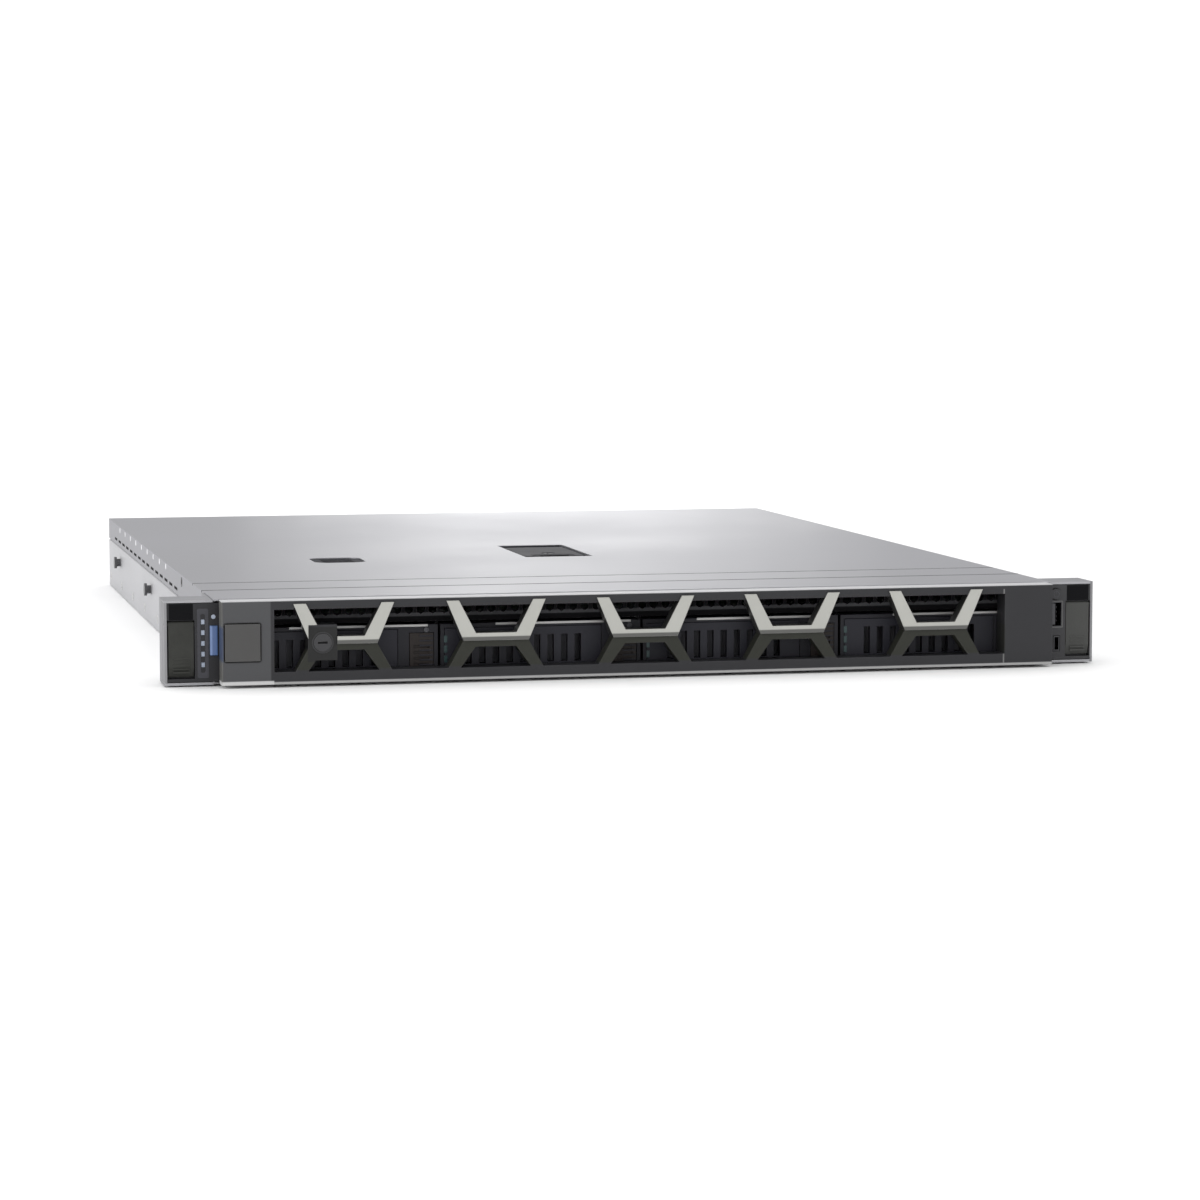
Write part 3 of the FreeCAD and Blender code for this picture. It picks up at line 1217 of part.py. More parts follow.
def psu_inside():
    """What the supply holds: its board with two heat sinks, its fan and the mains inlet."""
    board = Piece("psu_board")
    low = "gauge+psu_gauge"
    along = (f"{PSU_FRONT}+psu_board_in", f"{PSU_BACK}-psu_gauge-fan_deep-inlet_deep")
    inside = grown(PSU_X, "-2*psu_gauge")
    feet = []
    for x in (f"{inside[0]}+standoff", f"{inside[1]}-standoff"):
        for start in (along[0], f"{along[1]}-standoff"):
            feet.append(rect(middle(x, "standoff"), reach(start, "standoff")))
    board.pad("XY", reach(low, "standoff"), *feet)
    board.pad("XY", reach(f"{low}+standoff", "board_thick"), rect(inside, along))
    for place in (f"{inside[0]}+psu_sink_in", f"{inside[1]}-psu_sink_in"):
        board.pad("XY", reach(f"{low}+standoff", "psu_sink_tall"), rect(
            middle(place, "psu_sink_thick"), grown(along, "-standoff*3")))
    board.pad("XY", reach(f"{low}+standoff", "psu_coil_tall"), rect(
        middle(f"({inside[0]}+{inside[1]})/2", "sink_height"),
        middle(f"({along[0]}+{along[1]})/2", "sink_height")))
    board.done()
    fan_front = f"({PSU_BACK}-psu_gauge-fan_deep)"
    psu_fan = Piece("psu_fan_frame")
    size, deep = "(psu_height-2*psu_gauge)", "fan_deep"
    psu_fan.pad("XZ", reach(fan_front, deep), rect(middle(PSU_FAN_X, size), middle(PSU_FAN_Z, size)))
    psu_fan.pocket("XZ", reach(fan_front, deep), disc(PSU_FAN_X, PSU_FAN_Z, "fan_tip+seat_gap"))
    back = reach(fan_front, "motor_deep")
    psu_fan.pad("XZ", back, rect(middle(PSU_FAN_X, size), middle(PSU_FAN_Z, "spoke_wide")))
    psu_fan.pad("XZ", back, rect(middle(PSU_FAN_X, "spoke_wide"), middle(PSU_FAN_Z, size)))
    psu_fan.pad("XZ", back, disc(PSU_FAN_X, PSU_FAN_Z, "fan_hub"))
    psu_fan.pocket("XZ", back, disc(PSU_FAN_X, PSU_FAN_Z, "fan_shaft+running_gap"))
    psu_fan.done()
    fan_rotor("psu_fan_rotor", PSU_FAN_X, f"({fan_front}+motor_deep+seat_gap)", fan_front, PSU_FAN_Z)
    inlet = Piece("mains_inlet")
    face = f"({REAR}+rear_proud/2)"
    inlet.pad("XZ", (f"{REAR}-inlet_deep", face), rect(
        middle(INLET_X, "inlet_wide-2*inlet_flange-2*seat_gap"),
        middle(PSU_FAN_Z, "inlet_tall-2*inlet_flange-2*seat_gap")))
    inlet.pad("XZ", (REAR, face), rect(middle(INLET_X, "inlet_wide"), middle(PSU_FAN_Z, "inlet_tall")))
    inlet.pocket("XZ", (f"{REAR}-inlet_deep+inlet_flange", face), rect(
        middle(INLET_X, "inlet_wide-4*inlet_flange"), middle(PSU_FAN_Z, "inlet_tall-4*inlet_flange")))
    pins = []
    for index in (-1, 0, 1):
        lift = f"inlet_pin_lift*{1 - 2 * abs(index)}"
        pins.append(rect(middle(f"{INLET_X}+inlet_pin_pitch*{index}", "inlet_flange"),
                         middle(f"{PSU_FAN_Z}+{lift}", "inlet_pin_tall")))
    inlet.pad("XZ", (f"{REAR}-inlet_deep+inlet_flange", f"{REAR}-4*inlet_flange"), *pins)
    inlet.done()


# Main board, carried on standoffs behind the fans
BOARD_RIGHT = f"({SIDE}-gauge-{JOGGLE}-2*seat_gap-brace_gauge)"
BOARD_X = (f"({PSU_X[1]}+board_side_gap)", BOARD_RIGHT)
BOARD_Y = (f"({FAN_FRONT}+fan_deep+board_front_gap)", f"({REAR}-gauge-seat_gap)")
BOARD_TOP = "(gauge+standoff+board_thick)"
SINK_X = f"({BOARD_X[0]}+sink_side)"
SINK_Y = f"({BOARD_Y[0]}+sink_back)"
DIMM_X = f"({SINK_X}+sink_width/2+dimm_pitch*1.5)"
DIMM_Y = f"({BOARD_Y[0]}+dimm_back)"


def thirds(ends):
    """A place near each end of a span and one at its middle."""
    return f"{ends[0]}+2*standoff_radius", f"({ends[0]}+{ends[1]})/2", f"{ends[1]}-2*standoff_radius"


def main_board():
    """Board with its standoffs and the sockets of the processor and the memory."""
    board = Piece("motherboard")
    board.pad("XY", reach("gauge+standoff", "board_thick"), rect(BOARD_X, BOARD_Y))
    feet = []
    for x in thirds(BOARD_X):
        for y in thirds(BOARD_Y):
            feet.append(hexagon(x, y, "2*standoff_radius"))
    board.pad("XY", reach("gauge", "standoff"), *feet)
    board.pad("XY", reach(BOARD_TOP, "socket_lift"), rect(
        middle(SINK_X, "sink_width/2"), middle(SINK_Y, "sink_length/2")))
    board.done()


def memory():
    """Upright memory modules and the long sockets they stand in."""
    places = [f"({DIMM_X}+dimm_pitch*{index})" for index in range(int(value("dimm_count")))]
    sockets = Piece("memory_sockets")
    sockets.pad("XY", reach(BOARD_TOP, "dimm_socket_height"), *[
        rect(middle(place, "dimm_socket_width"), middle(DIMM_Y, "dimm_length+2*dimm_socket_width"))
        for place in places])
    sockets.pocket("XY", (f"{BOARD_TOP}+board_thick", f"{BOARD_TOP}+dimm_socket_height"), *[
        rect(middle(place, "dimm_thick+2*seat_gap"), middle(DIMM_Y, "dimm_length+2*seat_gap"))
        for place in places])
    sockets.done()
    modules = [
        block(f"memory_{number}", middle(place, "dimm_thick"), middle(DIMM_Y, "dimm_length"),
              reach(f"{BOARD_TOP}+board_thick", "dimm_height"))
        for number, place in enumerate(places, start=1)]
    node(group("memory_set", *modules), "memory_modules")


def heat_sink():
    """Passive heat sink of the processor: thick base with straight fins along the air flow."""
    sink = Piece("cpu_heatsink")
    low = f"{BOARD_TOP}+socket_lift"
    across = middle(SINK_X, "sink_width")
    sink.pad("XY", reach(low, "sink_base"), rect(across, middle(SINK_Y, "sink_length")))
    fin = sink.pad("XY", reach(f"{low}+sink_base", "sink_height-sink_base"), rect(
        reach(across[0], "fin_thick"), middle(SINK_Y, "sink_length")))
    sink.row([fin], "X", "(sink_width-fin_thick)/(fin_count-1)", "fin_count")
    sink.done()


# Rear ports by the middle of each across the case, measured in from the right wall
PORT_LOW = f"({BOARD_TOP}+seat_gap)"
REAR_USB_X = f"({SIDE}-rear_usb_in)"
NET_X = [f"({SIDE}-net_in-net_pitch*{index})" for index in range(2)]
VIDEO_X = f"({SIDE}-video_in)"
SERIAL_X = f"({SIDE}-serial_in)"
SLOT_X = [f"({PSU_X[1]}+(slot_gap+slot_cover_long)*{index + 1}-slot_cover_long/2)" for index in range(2)]
SLOT_UP = reach("gauge+standoff*4", "slot_cover_tall")


def rear_panel():
    """Rear wall with cut-outs for the supply, the expansion slots and the ports, and a vented strip."""
    panel = Piece("rear_panel")
    half = f"({SIDE}-gauge-{JOGGLE}-seat_gap)"
    sheet_y = (f"{REAR}-gauge", REAR)
    panel.pad("XZ", sheet_y, rect((f"-{half}", half), ("gauge", WALL_TOP)))
    panel.pocket("XZ", sheet_y, rect(grown(PSU_X, "-gauge"), grown(PSU_UP, "-gauge")))
    for place in SLOT_X:
        panel.pocket("XZ", sheet_y, rect(middle(place, "slot_cover_long-2*flange_lip"),
                                         grown(SLOT_UP, "-gauge")))
    for place in NET_X:
        panel.pocket("XZ", sheet_y, rect(middle(place, "rj_wide+2*seat_gap"),
                                         (f"{PORT_LOW}-seat_gap", f"{PORT_LOW}+rj_tall+seat_gap")))
    panel.pocket("XZ", sheet_y, rect(middle(REAR_USB_X, "usb_tall+2*seat_gap"),
                                     (f"{PORT_LOW}-seat_gap", f"{PORT_LOW}+2*usb_wide+3*seat_gap")))
    for place in (VIDEO_X, SERIAL_X):
        panel.pocket("XZ", sheet_y, rect(middle(place, "dsub_wide+2*seat_gap"),
                                         (f"{PORT_LOW}-seat_gap", f"{PORT_LOW}+dsub_tall+seat_gap")))
    slot = panel.pocket("XZ", sheet_y, rect(reach(f"{VIDEO_X}-dsub_wide/2", "slot_width"),
                                            (f"{PORT_LOW}+rj_tall+standoff", f"{WALL_TOP}-standoff")))
    panel.row([slot], "X", "slot_pitch", f"floor(({half}-({VIDEO_X})+dsub_wide/2)/slot_pitch)")
    panel.done()


def network_ports():
    """Two jacks with stepped mouths, set through the rear wall."""
    jacks = []
    for index, place in enumerate(NET_X):
        jack = Piece(f"network_jack_{index + 1}")
        mouth = f"{PORT_LOW}+(rj_tall-rj_mouth_tall)/2"
        jack.pad("XZ", (f"{REAR}+gauge-rj_deep", f"{REAR}+gauge/2"), rect(
            middle(place, "rj_wide"), reach(PORT_LOW, "rj_tall")))
        jack.pocket("XZ", (f"{REAR}+2*gauge-rj_deep", f"{REAR}+gauge/2"), rect(
            middle(place, "rj_mouth_wide"), reach(mouth, "rj_mouth_tall-2*gauge")))
        jack.pocket("XZ", (f"{REAR}-rj_deep/2", f"{REAR}+gauge/2"), rect(
            middle(place, "rj_mouth_wide/2"), reach(mouth, "rj_mouth_tall")))
        jacks.append(jack.body)
    node(group("jack_set", *jacks), "network_ports")


def rear_usb_ports():
    """Two serial bus sockets, one over the other."""
    ports = []
    for index in range(2):
        low = f"{PORT_LOW}+{index}*(usb_wide+seat_gap)"
        port = Piece(f"rear_usb_{index + 1}")
        port.pad("XZ", (f"{REAR}-usb_deep", f"{REAR}+gauge/2"), rect(
            middle(REAR_USB_X, "usb_tall"), reach(low, "usb_wide")))
        port.pocket("XZ", (f"{REAR}-usb_deep+usb_wall", f"{REAR}+gauge/2"), rect(
            middle(REAR_USB_X, "usb_tall-2*usb_wall"), reach(f"{low}+usb_wall", "usb_wide-2*usb_wall")))
        port.pad("XZ", (f"{REAR}-usb_deep+usb_wall/2", REAR), rect(
            middle(REAR_USB_X, "usb_tall-4*usb_wall"), reach(f"{low}+usb_wall+2*seat_gap", "usb_tongue")))
        ports.append(port.body)
    node(group("rear_usb_set", *ports), "rear_usb_ports")


def display_ports():
    """Video and serial sockets with tapered shells and their jack posts, which stand proudest."""
    sockets = []
    for index, place in enumerate((VIDEO_X, SERIAL_X)):
        socket = Piece(f"shell_port_{index + 1}")
        centre = f"({PORT_LOW}+dsub_tall/2)"
        socket.pad("XZ", (f"{REAR}-dsub_deep", f"{REAR}+gauge/2"), rect(
            middle(place, "dsub_wide"), reach(PORT_LOW, "dsub_tall")))
        wide, narrow, tall = "dsub_mouth_wide/2", "dsub_mouth_narrow/2", "dsub_mouth_tall/2"
        socket.pad("XZ", (REAR, f"{REAR}+rear_proud"), polygon(
            (f"{place}-{narrow}", f"{centre}-{tall}"), (f"{place}+{narrow}", f"{centre}-{tall}"),
            (f"{place}+{wide}", f"{centre}+{tall}"), (f"{place}-{wide}", f"{centre}+{tall}")))
        socket.pad("XZ", (REAR, f"{REAR}+rear_proud"),
                   hexagon(f"{place}-jack_pitch/2", centre, "2*jack_radius"),
                   hexagon(f"{place}+jack_pitch/2", centre, "2*jack_radius"))
        sockets.append(socket.body)
    node(group("shell_port_set", *sockets), "display_serial_ports")


def expansion():
    """Blank covers of the two expansion slots and the riser card between them."""
    covers = []
    for index, place in enumerate(SLOT_X):
        cover = Piece(f"slot_cover_{index + 1}")
        cover.pad("XZ", (f"{REAR}-2*gauge", f"{REAR}-gauge"), rect(middle(place, "slot_cover_long"), SLOT_UP))
        hole = cover.pocket("XZ", (f"{REAR}-2*gauge", f"{REAR}-gauge"), hexagon(
            f"{place}-slot_cover_long/2+2*vent_pitch", f"({SLOT_UP[0]}+{SLOT_UP[1]})/2", "vent_side"))
        cover.row([hole], "X", "slot_hole_pitch", "slot_hole_count")
        covers.append(cover.body)
    node(group("slot_cover_set", *covers), "slot_covers")
    riser = Piece("expansion_riser")
    place = f"({SLOT_X[0]}+{SLOT_X[1]})/2"
    along = reach(f"{REAR}-slot_cover_tall-riser_long", "riser_long")
    riser.pad("XY", reach(BOARD_TOP, "riser_tall"), rect(middle(place, "board_thick"), along))
    riser.pad("XY", reach(BOARD_TOP, "dimm_socket_height"), rect(middle(place, "dimm_socket_width"), along))
    riser.done()


fill_sheet()
chassis_tray()
front_strip()
top_cover()
cover_grip_pad()
cover_latch_pan()
cover_latch_lever()
cover_latch_lock()
cross_brace()
rail_studs()
for hand, side in (("left", -1), ("right", 1)):
    ear_bracket(side, f"{hand}_ear_bracket")
    slam_latch(side, f"{hand}_slam_latch")
    rack_screw(side, f"{hand}_rack_screw")
left_control_housing()
right_control_housing()
bezel_frame()
bezel_hex_trim()
bezel_fittings()
drive_cage()
for bay in range(int(value("bay_count"))):
    drive_carrier(bay)
drive_levers()
hard_drives()
drive_backplane()
fan_wall()
fans()
psu_case()
psu_inside()
main_board()
memory()
heat_sink()
rear_panel()
network_ports()
rear_usb_ports()
display_ports()
expansion()
doc.recompute()

faults = [item.Label for item in doc.Objects if "Invalid" in item.State or "Error" in item.State]
faults += [item.Label for item in nodes if item.Shape.isNull() or not item.Shape.isValid()]
if faults:
    raise RuntimeError(f"These objects did not come out whole: {faults}")
os.makedirs("parts", exist_ok=True)
for item in nodes:
    item.Shape.exportStep(f"parts/{item.Label}.step")
    box = item.Shape.BoundBox
    print(item.Label, len(item.Shape.Solids), [round(size, 2) for size in (
        box.XMin, box.XMax, box.YMin, box.YMax, box.ZMin, box.ZMax)])
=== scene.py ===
"""Finishes and fine detail of a one-unit rack server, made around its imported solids.

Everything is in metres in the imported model's own frame: X to the right seen from the front, Y to the back and
Z up. Sizes given as fields are in millimetres, as on a drawing, and MM turns them into metres.
"""

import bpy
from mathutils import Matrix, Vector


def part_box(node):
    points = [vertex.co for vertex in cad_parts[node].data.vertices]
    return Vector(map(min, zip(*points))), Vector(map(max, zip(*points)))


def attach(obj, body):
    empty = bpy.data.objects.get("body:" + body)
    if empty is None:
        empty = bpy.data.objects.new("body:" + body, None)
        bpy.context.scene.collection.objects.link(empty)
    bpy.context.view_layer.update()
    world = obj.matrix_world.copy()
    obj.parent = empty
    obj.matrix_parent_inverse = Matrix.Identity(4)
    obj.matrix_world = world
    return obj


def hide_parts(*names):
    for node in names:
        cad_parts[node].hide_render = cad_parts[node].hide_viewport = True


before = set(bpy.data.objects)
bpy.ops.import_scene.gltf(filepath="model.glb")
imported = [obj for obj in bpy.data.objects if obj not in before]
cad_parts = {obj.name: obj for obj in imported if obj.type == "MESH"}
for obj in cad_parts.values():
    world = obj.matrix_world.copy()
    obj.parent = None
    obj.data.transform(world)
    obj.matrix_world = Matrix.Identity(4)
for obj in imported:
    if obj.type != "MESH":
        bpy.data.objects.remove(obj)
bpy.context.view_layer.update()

import logging
import math
from collections.abc import Iterable, Sequence
from dataclasses import dataclass, field
from enum import Enum

import bmesh
import bpy
from mathutils import Matrix, Vector

log = logging.getLogger("rack_server")
MM = 0.001
MATT_SPECULAR = 0.08
MATT_ROUGHNESS = 0.85
Colour = tuple[float, float, float]
Place = tuple[float, float, float]
Span = tuple[float, float]
Outline = Sequence[Span]


class Plane(Enum):
    """The plane an outline is drawn in. Its value is the axis the outline is pushed along."""

    XY = 2
    XZ = 1
    YZ = 0

    def spot(self, across: float, up: float, along: float) -> Vector:
        """Turns a point of the outline and its depth into a place.

        Args:
            across: First coordinate in the plane, in millimetres.
            up: Second coordinate in the plane, in millimetres.
            along: Coordinate along the pushed axis, in millimetres.

        Returns:
            The place in metres.
        """
        if self is Plane.XY:
            return Vector((across, up, along)) * MM
        if self is Plane.XZ:
            return Vector((across, along, up)) * MM
        return Vector((along, across, up)) * MM


class Facing(Enum):
    """Which way a small part's head looks."""

    FRONT = (0.0, -1.0, 0.0)
    BACK = (0.0, 1.0, 0.0)
    LEFT = (-1.0, 0.0, 0.0)
    RIGHT = (1.0, 0.0, 0.0)
    UP = (0.0, 0.0, 1.0)


class Slot(Enum):
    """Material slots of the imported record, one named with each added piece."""

    STEEL = "case_steel"
    BLACK = "black_plastic"
    BEZEL = "bezel_grey"
    LIGHT = "light_pipe"
    SCREW = "screw_steel"
    CARRIER = "carrier_dark"
    DRIVE = "drive_metal"
    BOARD = "board_green"


class Graph:
    """A node tree with short calls that add nodes and join them."""

    def __init__(self, tree: bpy.types.NodeTree) -> None:
        """Keeps the tree that the calls work on."""
        self.tree = tree

    def feed(self, given: object, socket: bpy.types.NodeSocket) -> None:
        """Joins an output to a socket, or sets the socket's own value.

        Args:
            given: An output socket, or a plain value.
            socket: The input socket to fill.
        """
        if isinstance(given, bpy.types.NodeSocket):
            self.tree.links.new(given, socket)
        elif isinstance(given, tuple) and len(given) == 3 and socket.type == "RGBA":
            socket.default_value = (*given, 1.0)
        else:
            socket.default_value = given

    def add(
        self, kind: str, inputs: dict[str | int, object] | None = None, **settings: object
    ) -> bpy.types.Node:
        """Adds one node.

        Args:
            kind: Blender's name of the node type.
            inputs: What goes into its sockets, by name or number.
            settings: Properties of the node itself.

        Returns:
            The new node.
        """
        node = self.tree.nodes.new(kind)
        for name, setting in settings.items():
            setattr(node, name, setting)
        for name, given in (inputs or {}).items():
            self.feed(given, node.inputs[name])
        return node

    def spot(self) -> bpy.types.NodeSocket:
        """Gives a place in the object's own coordinates."""
        return self.add("ShaderNodeTexCoord").outputs["Object"]

    def math(self, step: str, first: object, second: object = 0.0) -> bpy.types.NodeSocket:
        """Adds a Math node.

        Args:
            step: The operation's name.
            first: First number or output.
            second: Second number or output.

        Returns:
            The result's output socket.
        """
        return self.add("ShaderNodeMath", {0: first, 1: second}, operation=step).outputs[0]

    def spread(self, given: object, source: Span, target: Span) -> bpy.types.NodeSocket:
        """Maps a value from one range to another and holds it there.

        Args:
            given: The value's output socket.
            source: Lowest and highest value that comes in.
            target: What those two become.

        Returns:
            The result's output socket.
        """
        ends = {1: source[0], 2: source[1], 3: target[0], 4: target[1]}
        return self.add("ShaderNodeMapRange", {0: given, **ends}, clamp=True).outputs[0]

    def blend(self, share: object, first: object, second: object) -> bpy.types.NodeSocket:
        """Mixes two colours.

        Args:
            share: How much of the second colour shows.
            first: First colour or output.
            second: Second colour or output.

        Returns:
            The mixed colour's output socket.
        """
        return self.add("ShaderNodeMix", {0: share, 6: first, 7: second}, data_type="RGBA").outputs[2]


class Effect(Enum):
    """Shader node groups shared by the finishes."""

    MOTTLE = "Mottle"
    EDGES = "Edge wear"
    STREAKS = "Rolled streaks"

    def tree(self) -> bpy.types.NodeTree:
        """Gives the group's tree, which is built once."""
        made = bpy.data.node_groups.get(self.value)
        if made is None:
            makers = {Effect.MOTTLE: mottle_group, Effect.EDGES: edge_group, Effect.STREAKS: streak_group}
            made = makers[self]()
        return made

    def place(self, graph: Graph, **inputs: object) -> bpy.types.Node:
        """Puts the group into a material.

        Args:
            graph: The material's graph.
            inputs: Values of the group's inputs, with spaces written as underscores.

        Returns:
            The group node.
        """
        node = graph.add("ShaderNodeGroup", node_tree=self.tree())
        for name, given in inputs.items():
            graph.feed(given, node.inputs[name.replace("_", " ")])
        return node


def new_group(
    effect: Effect, inputs: dict[str, float], outputs: dict[str, str]
) -> tuple[Graph, bpy.types.Node, bpy.types.Node]:
    """Starts a shader node group.

    Args:
        effect: The effect it makes.
        inputs: Names of its number inputs, with their usual values.
        outputs: Names of its outputs, with their socket types.

    Returns:
        The graph, the group's input node and its output node.
    """
    tree = bpy.data.node_groups.new(effect.value, "ShaderNodeTree")
    for name, usual in inputs.items():
        socket = tree.interface.new_socket(name, in_out="INPUT", socket_type="NodeSocketFloat")
        socket.default_value = usual
    for name, kind in outputs.items():
        tree.interface.new_socket(name, in_out="OUTPUT", socket_type=kind)
    graph = Graph(tree)
    return graph, graph.add("NodeGroupInput"), graph.add("NodeGroupOutput")


def mottle_group() -> bpy.types.NodeTree:
    """Builds the group for slow clouds of tone under a fine grain."""
    number = "NodeSocketFloat"
    graph, given, result = new_group(
        Effect.MOTTLE, {"Coarse": 20.0, "Fine": 1500.0, "Cloud": 0.6}, {"Tone": number, "Height": number}
    )
    spot = graph.spot()
    clouds = graph.add(
        "ShaderNodeTexNoise",
        {"Vector": spot, "Scale": given.outputs["Coarse"], "Detail": 3.0, "Roughness": 0.55},
    ).outputs[0]
    grain = graph.add(
        "ShaderNodeTexNoise",
        {"Vector": spot, "Scale": given.outputs["Fine"], "Detail": 1.0, "Roughness": 0.5},
    ).outputs[0]
    soft = graph.spread(clouds, (0.3, 0.7), (0.0, 1.0))
    mixed = graph.add(
        "ShaderNodeMix", {0: given.outputs["Cloud"], 2: grain, 3: soft}, data_type="FLOAT"
    ).outputs[0]
    graph.feed(mixed, result.inputs["Tone"])
    graph.feed(grain, result.inputs["Height"])
    return graph.tree


def edge_group() -> bpy.types.NodeTree:
    """Builds the group that rounds edges in the light and rubs them in patches."""
    graph, given, result = new_group(
        Effect.EDGES,
        {"Radius": 0.0003, "Patches": 90.0},
        {"Mask": "NodeSocketFloat", "Normal": "NodeSocketVector"},
    )
    rounded = graph.add("ShaderNodeBevel", {"Radius": given.outputs["Radius"]}, samples=4).outputs[0]
    flat = graph.add("ShaderNodeNewGeometry").outputs["True Normal"]
    turned = graph.add(
        "ShaderNodeVectorMath", {0: rounded, 1: flat}, operation="DOT_PRODUCT"
    ).outputs["Value"]
    edge = graph.spread(turned, (0.995, 0.90), (0.0, 1.0))
    spot = graph.spot()
    patches = graph.add(
        "ShaderNodeTexNoise", {"Vector": spot, "Scale": given.outputs["Patches"], "Detail": 2.0}
    ).outputs[0]
    rubbed = graph.spread(patches, (0.40, 0.65), (0.15, 1.0))
    graph.feed(graph.math("MULTIPLY", edge, rubbed), result.inputs["Mask"])
    graph.feed(rounded, result.inputs["Normal"])
    return graph.tree


def streak_group() -> bpy.types.NodeTree:
    """Builds the group for long fine streaks left along X by the rolling mill."""
    graph, given, result = new_group(
        Effect.STREAKS, {"Along": 6.0, "Across": 700.0}, {"Streak": "NodeSocketFloat"}
    )
    spot = graph.spot()
    along, across = given.outputs["Along"], given.outputs["Across"]
    scale = graph.add("ShaderNodeCombineXYZ", {0: along, 1: across, 2: across}).outputs[0]
    drawn = graph.add("ShaderNodeVectorMath", {0: spot, 1: scale}, operation="MULTIPLY").outputs[0]
    noise = graph.add("ShaderNodeTexNoise", {"Vector": drawn, "Scale": 1.0, "Detail": 3.0}).outputs[0]
    graph.feed(graph.spread(noise, (0.3, 0.7), (0.0, 1.0)), result.inputs["Streak"])
    return graph.tree


def tinted(colour: Colour, share: float) -> Colour:
    """Lightens a colour by a share of itself, or darkens it where the share is negative."""
    return tuple(min(1.0, part * (1.0 + share)) for part in colour)


@dataclass(frozen=True)
class Band:
    """A box of space in which a finish takes another colour, and loses its gloss where it is matt. Bands give
    two-tone paint, and also painted light and shade.
    """

    colour: Colour
    x: Span | None = None
    y: Span | None = None
    z: Span | None = None
    soft: float = 0.3
    matt: bool = False

    def share(self, graph: Graph) -> bpy.types.NodeSocket:
        """Tells how much of a place the band covers.

        Args:
            graph: The material's graph.

        Returns:
            One inside the box, falling to nothing over its soft edge.
        """
        spot = graph.spot()
        parts = graph.add("ShaderNodeSeparateXYZ", {0: spot}).outputs
        shares = []
        for along, span in zip(parts, (self.x, self.y, self.z)):
            if span:
                low, high = span
                shares.append(graph.spread(along, ((low - self.soft) * MM, low * MM), (0.0, 1.0)))
                shares.append(graph.spread(along, (high * MM, (high + self.soft) * MM), (1.0, 0.0)))
        whole = shares[0]
        for share in shares[1:]:
            whole = graph.math("MULTIPLY", whole, share)
        return whole


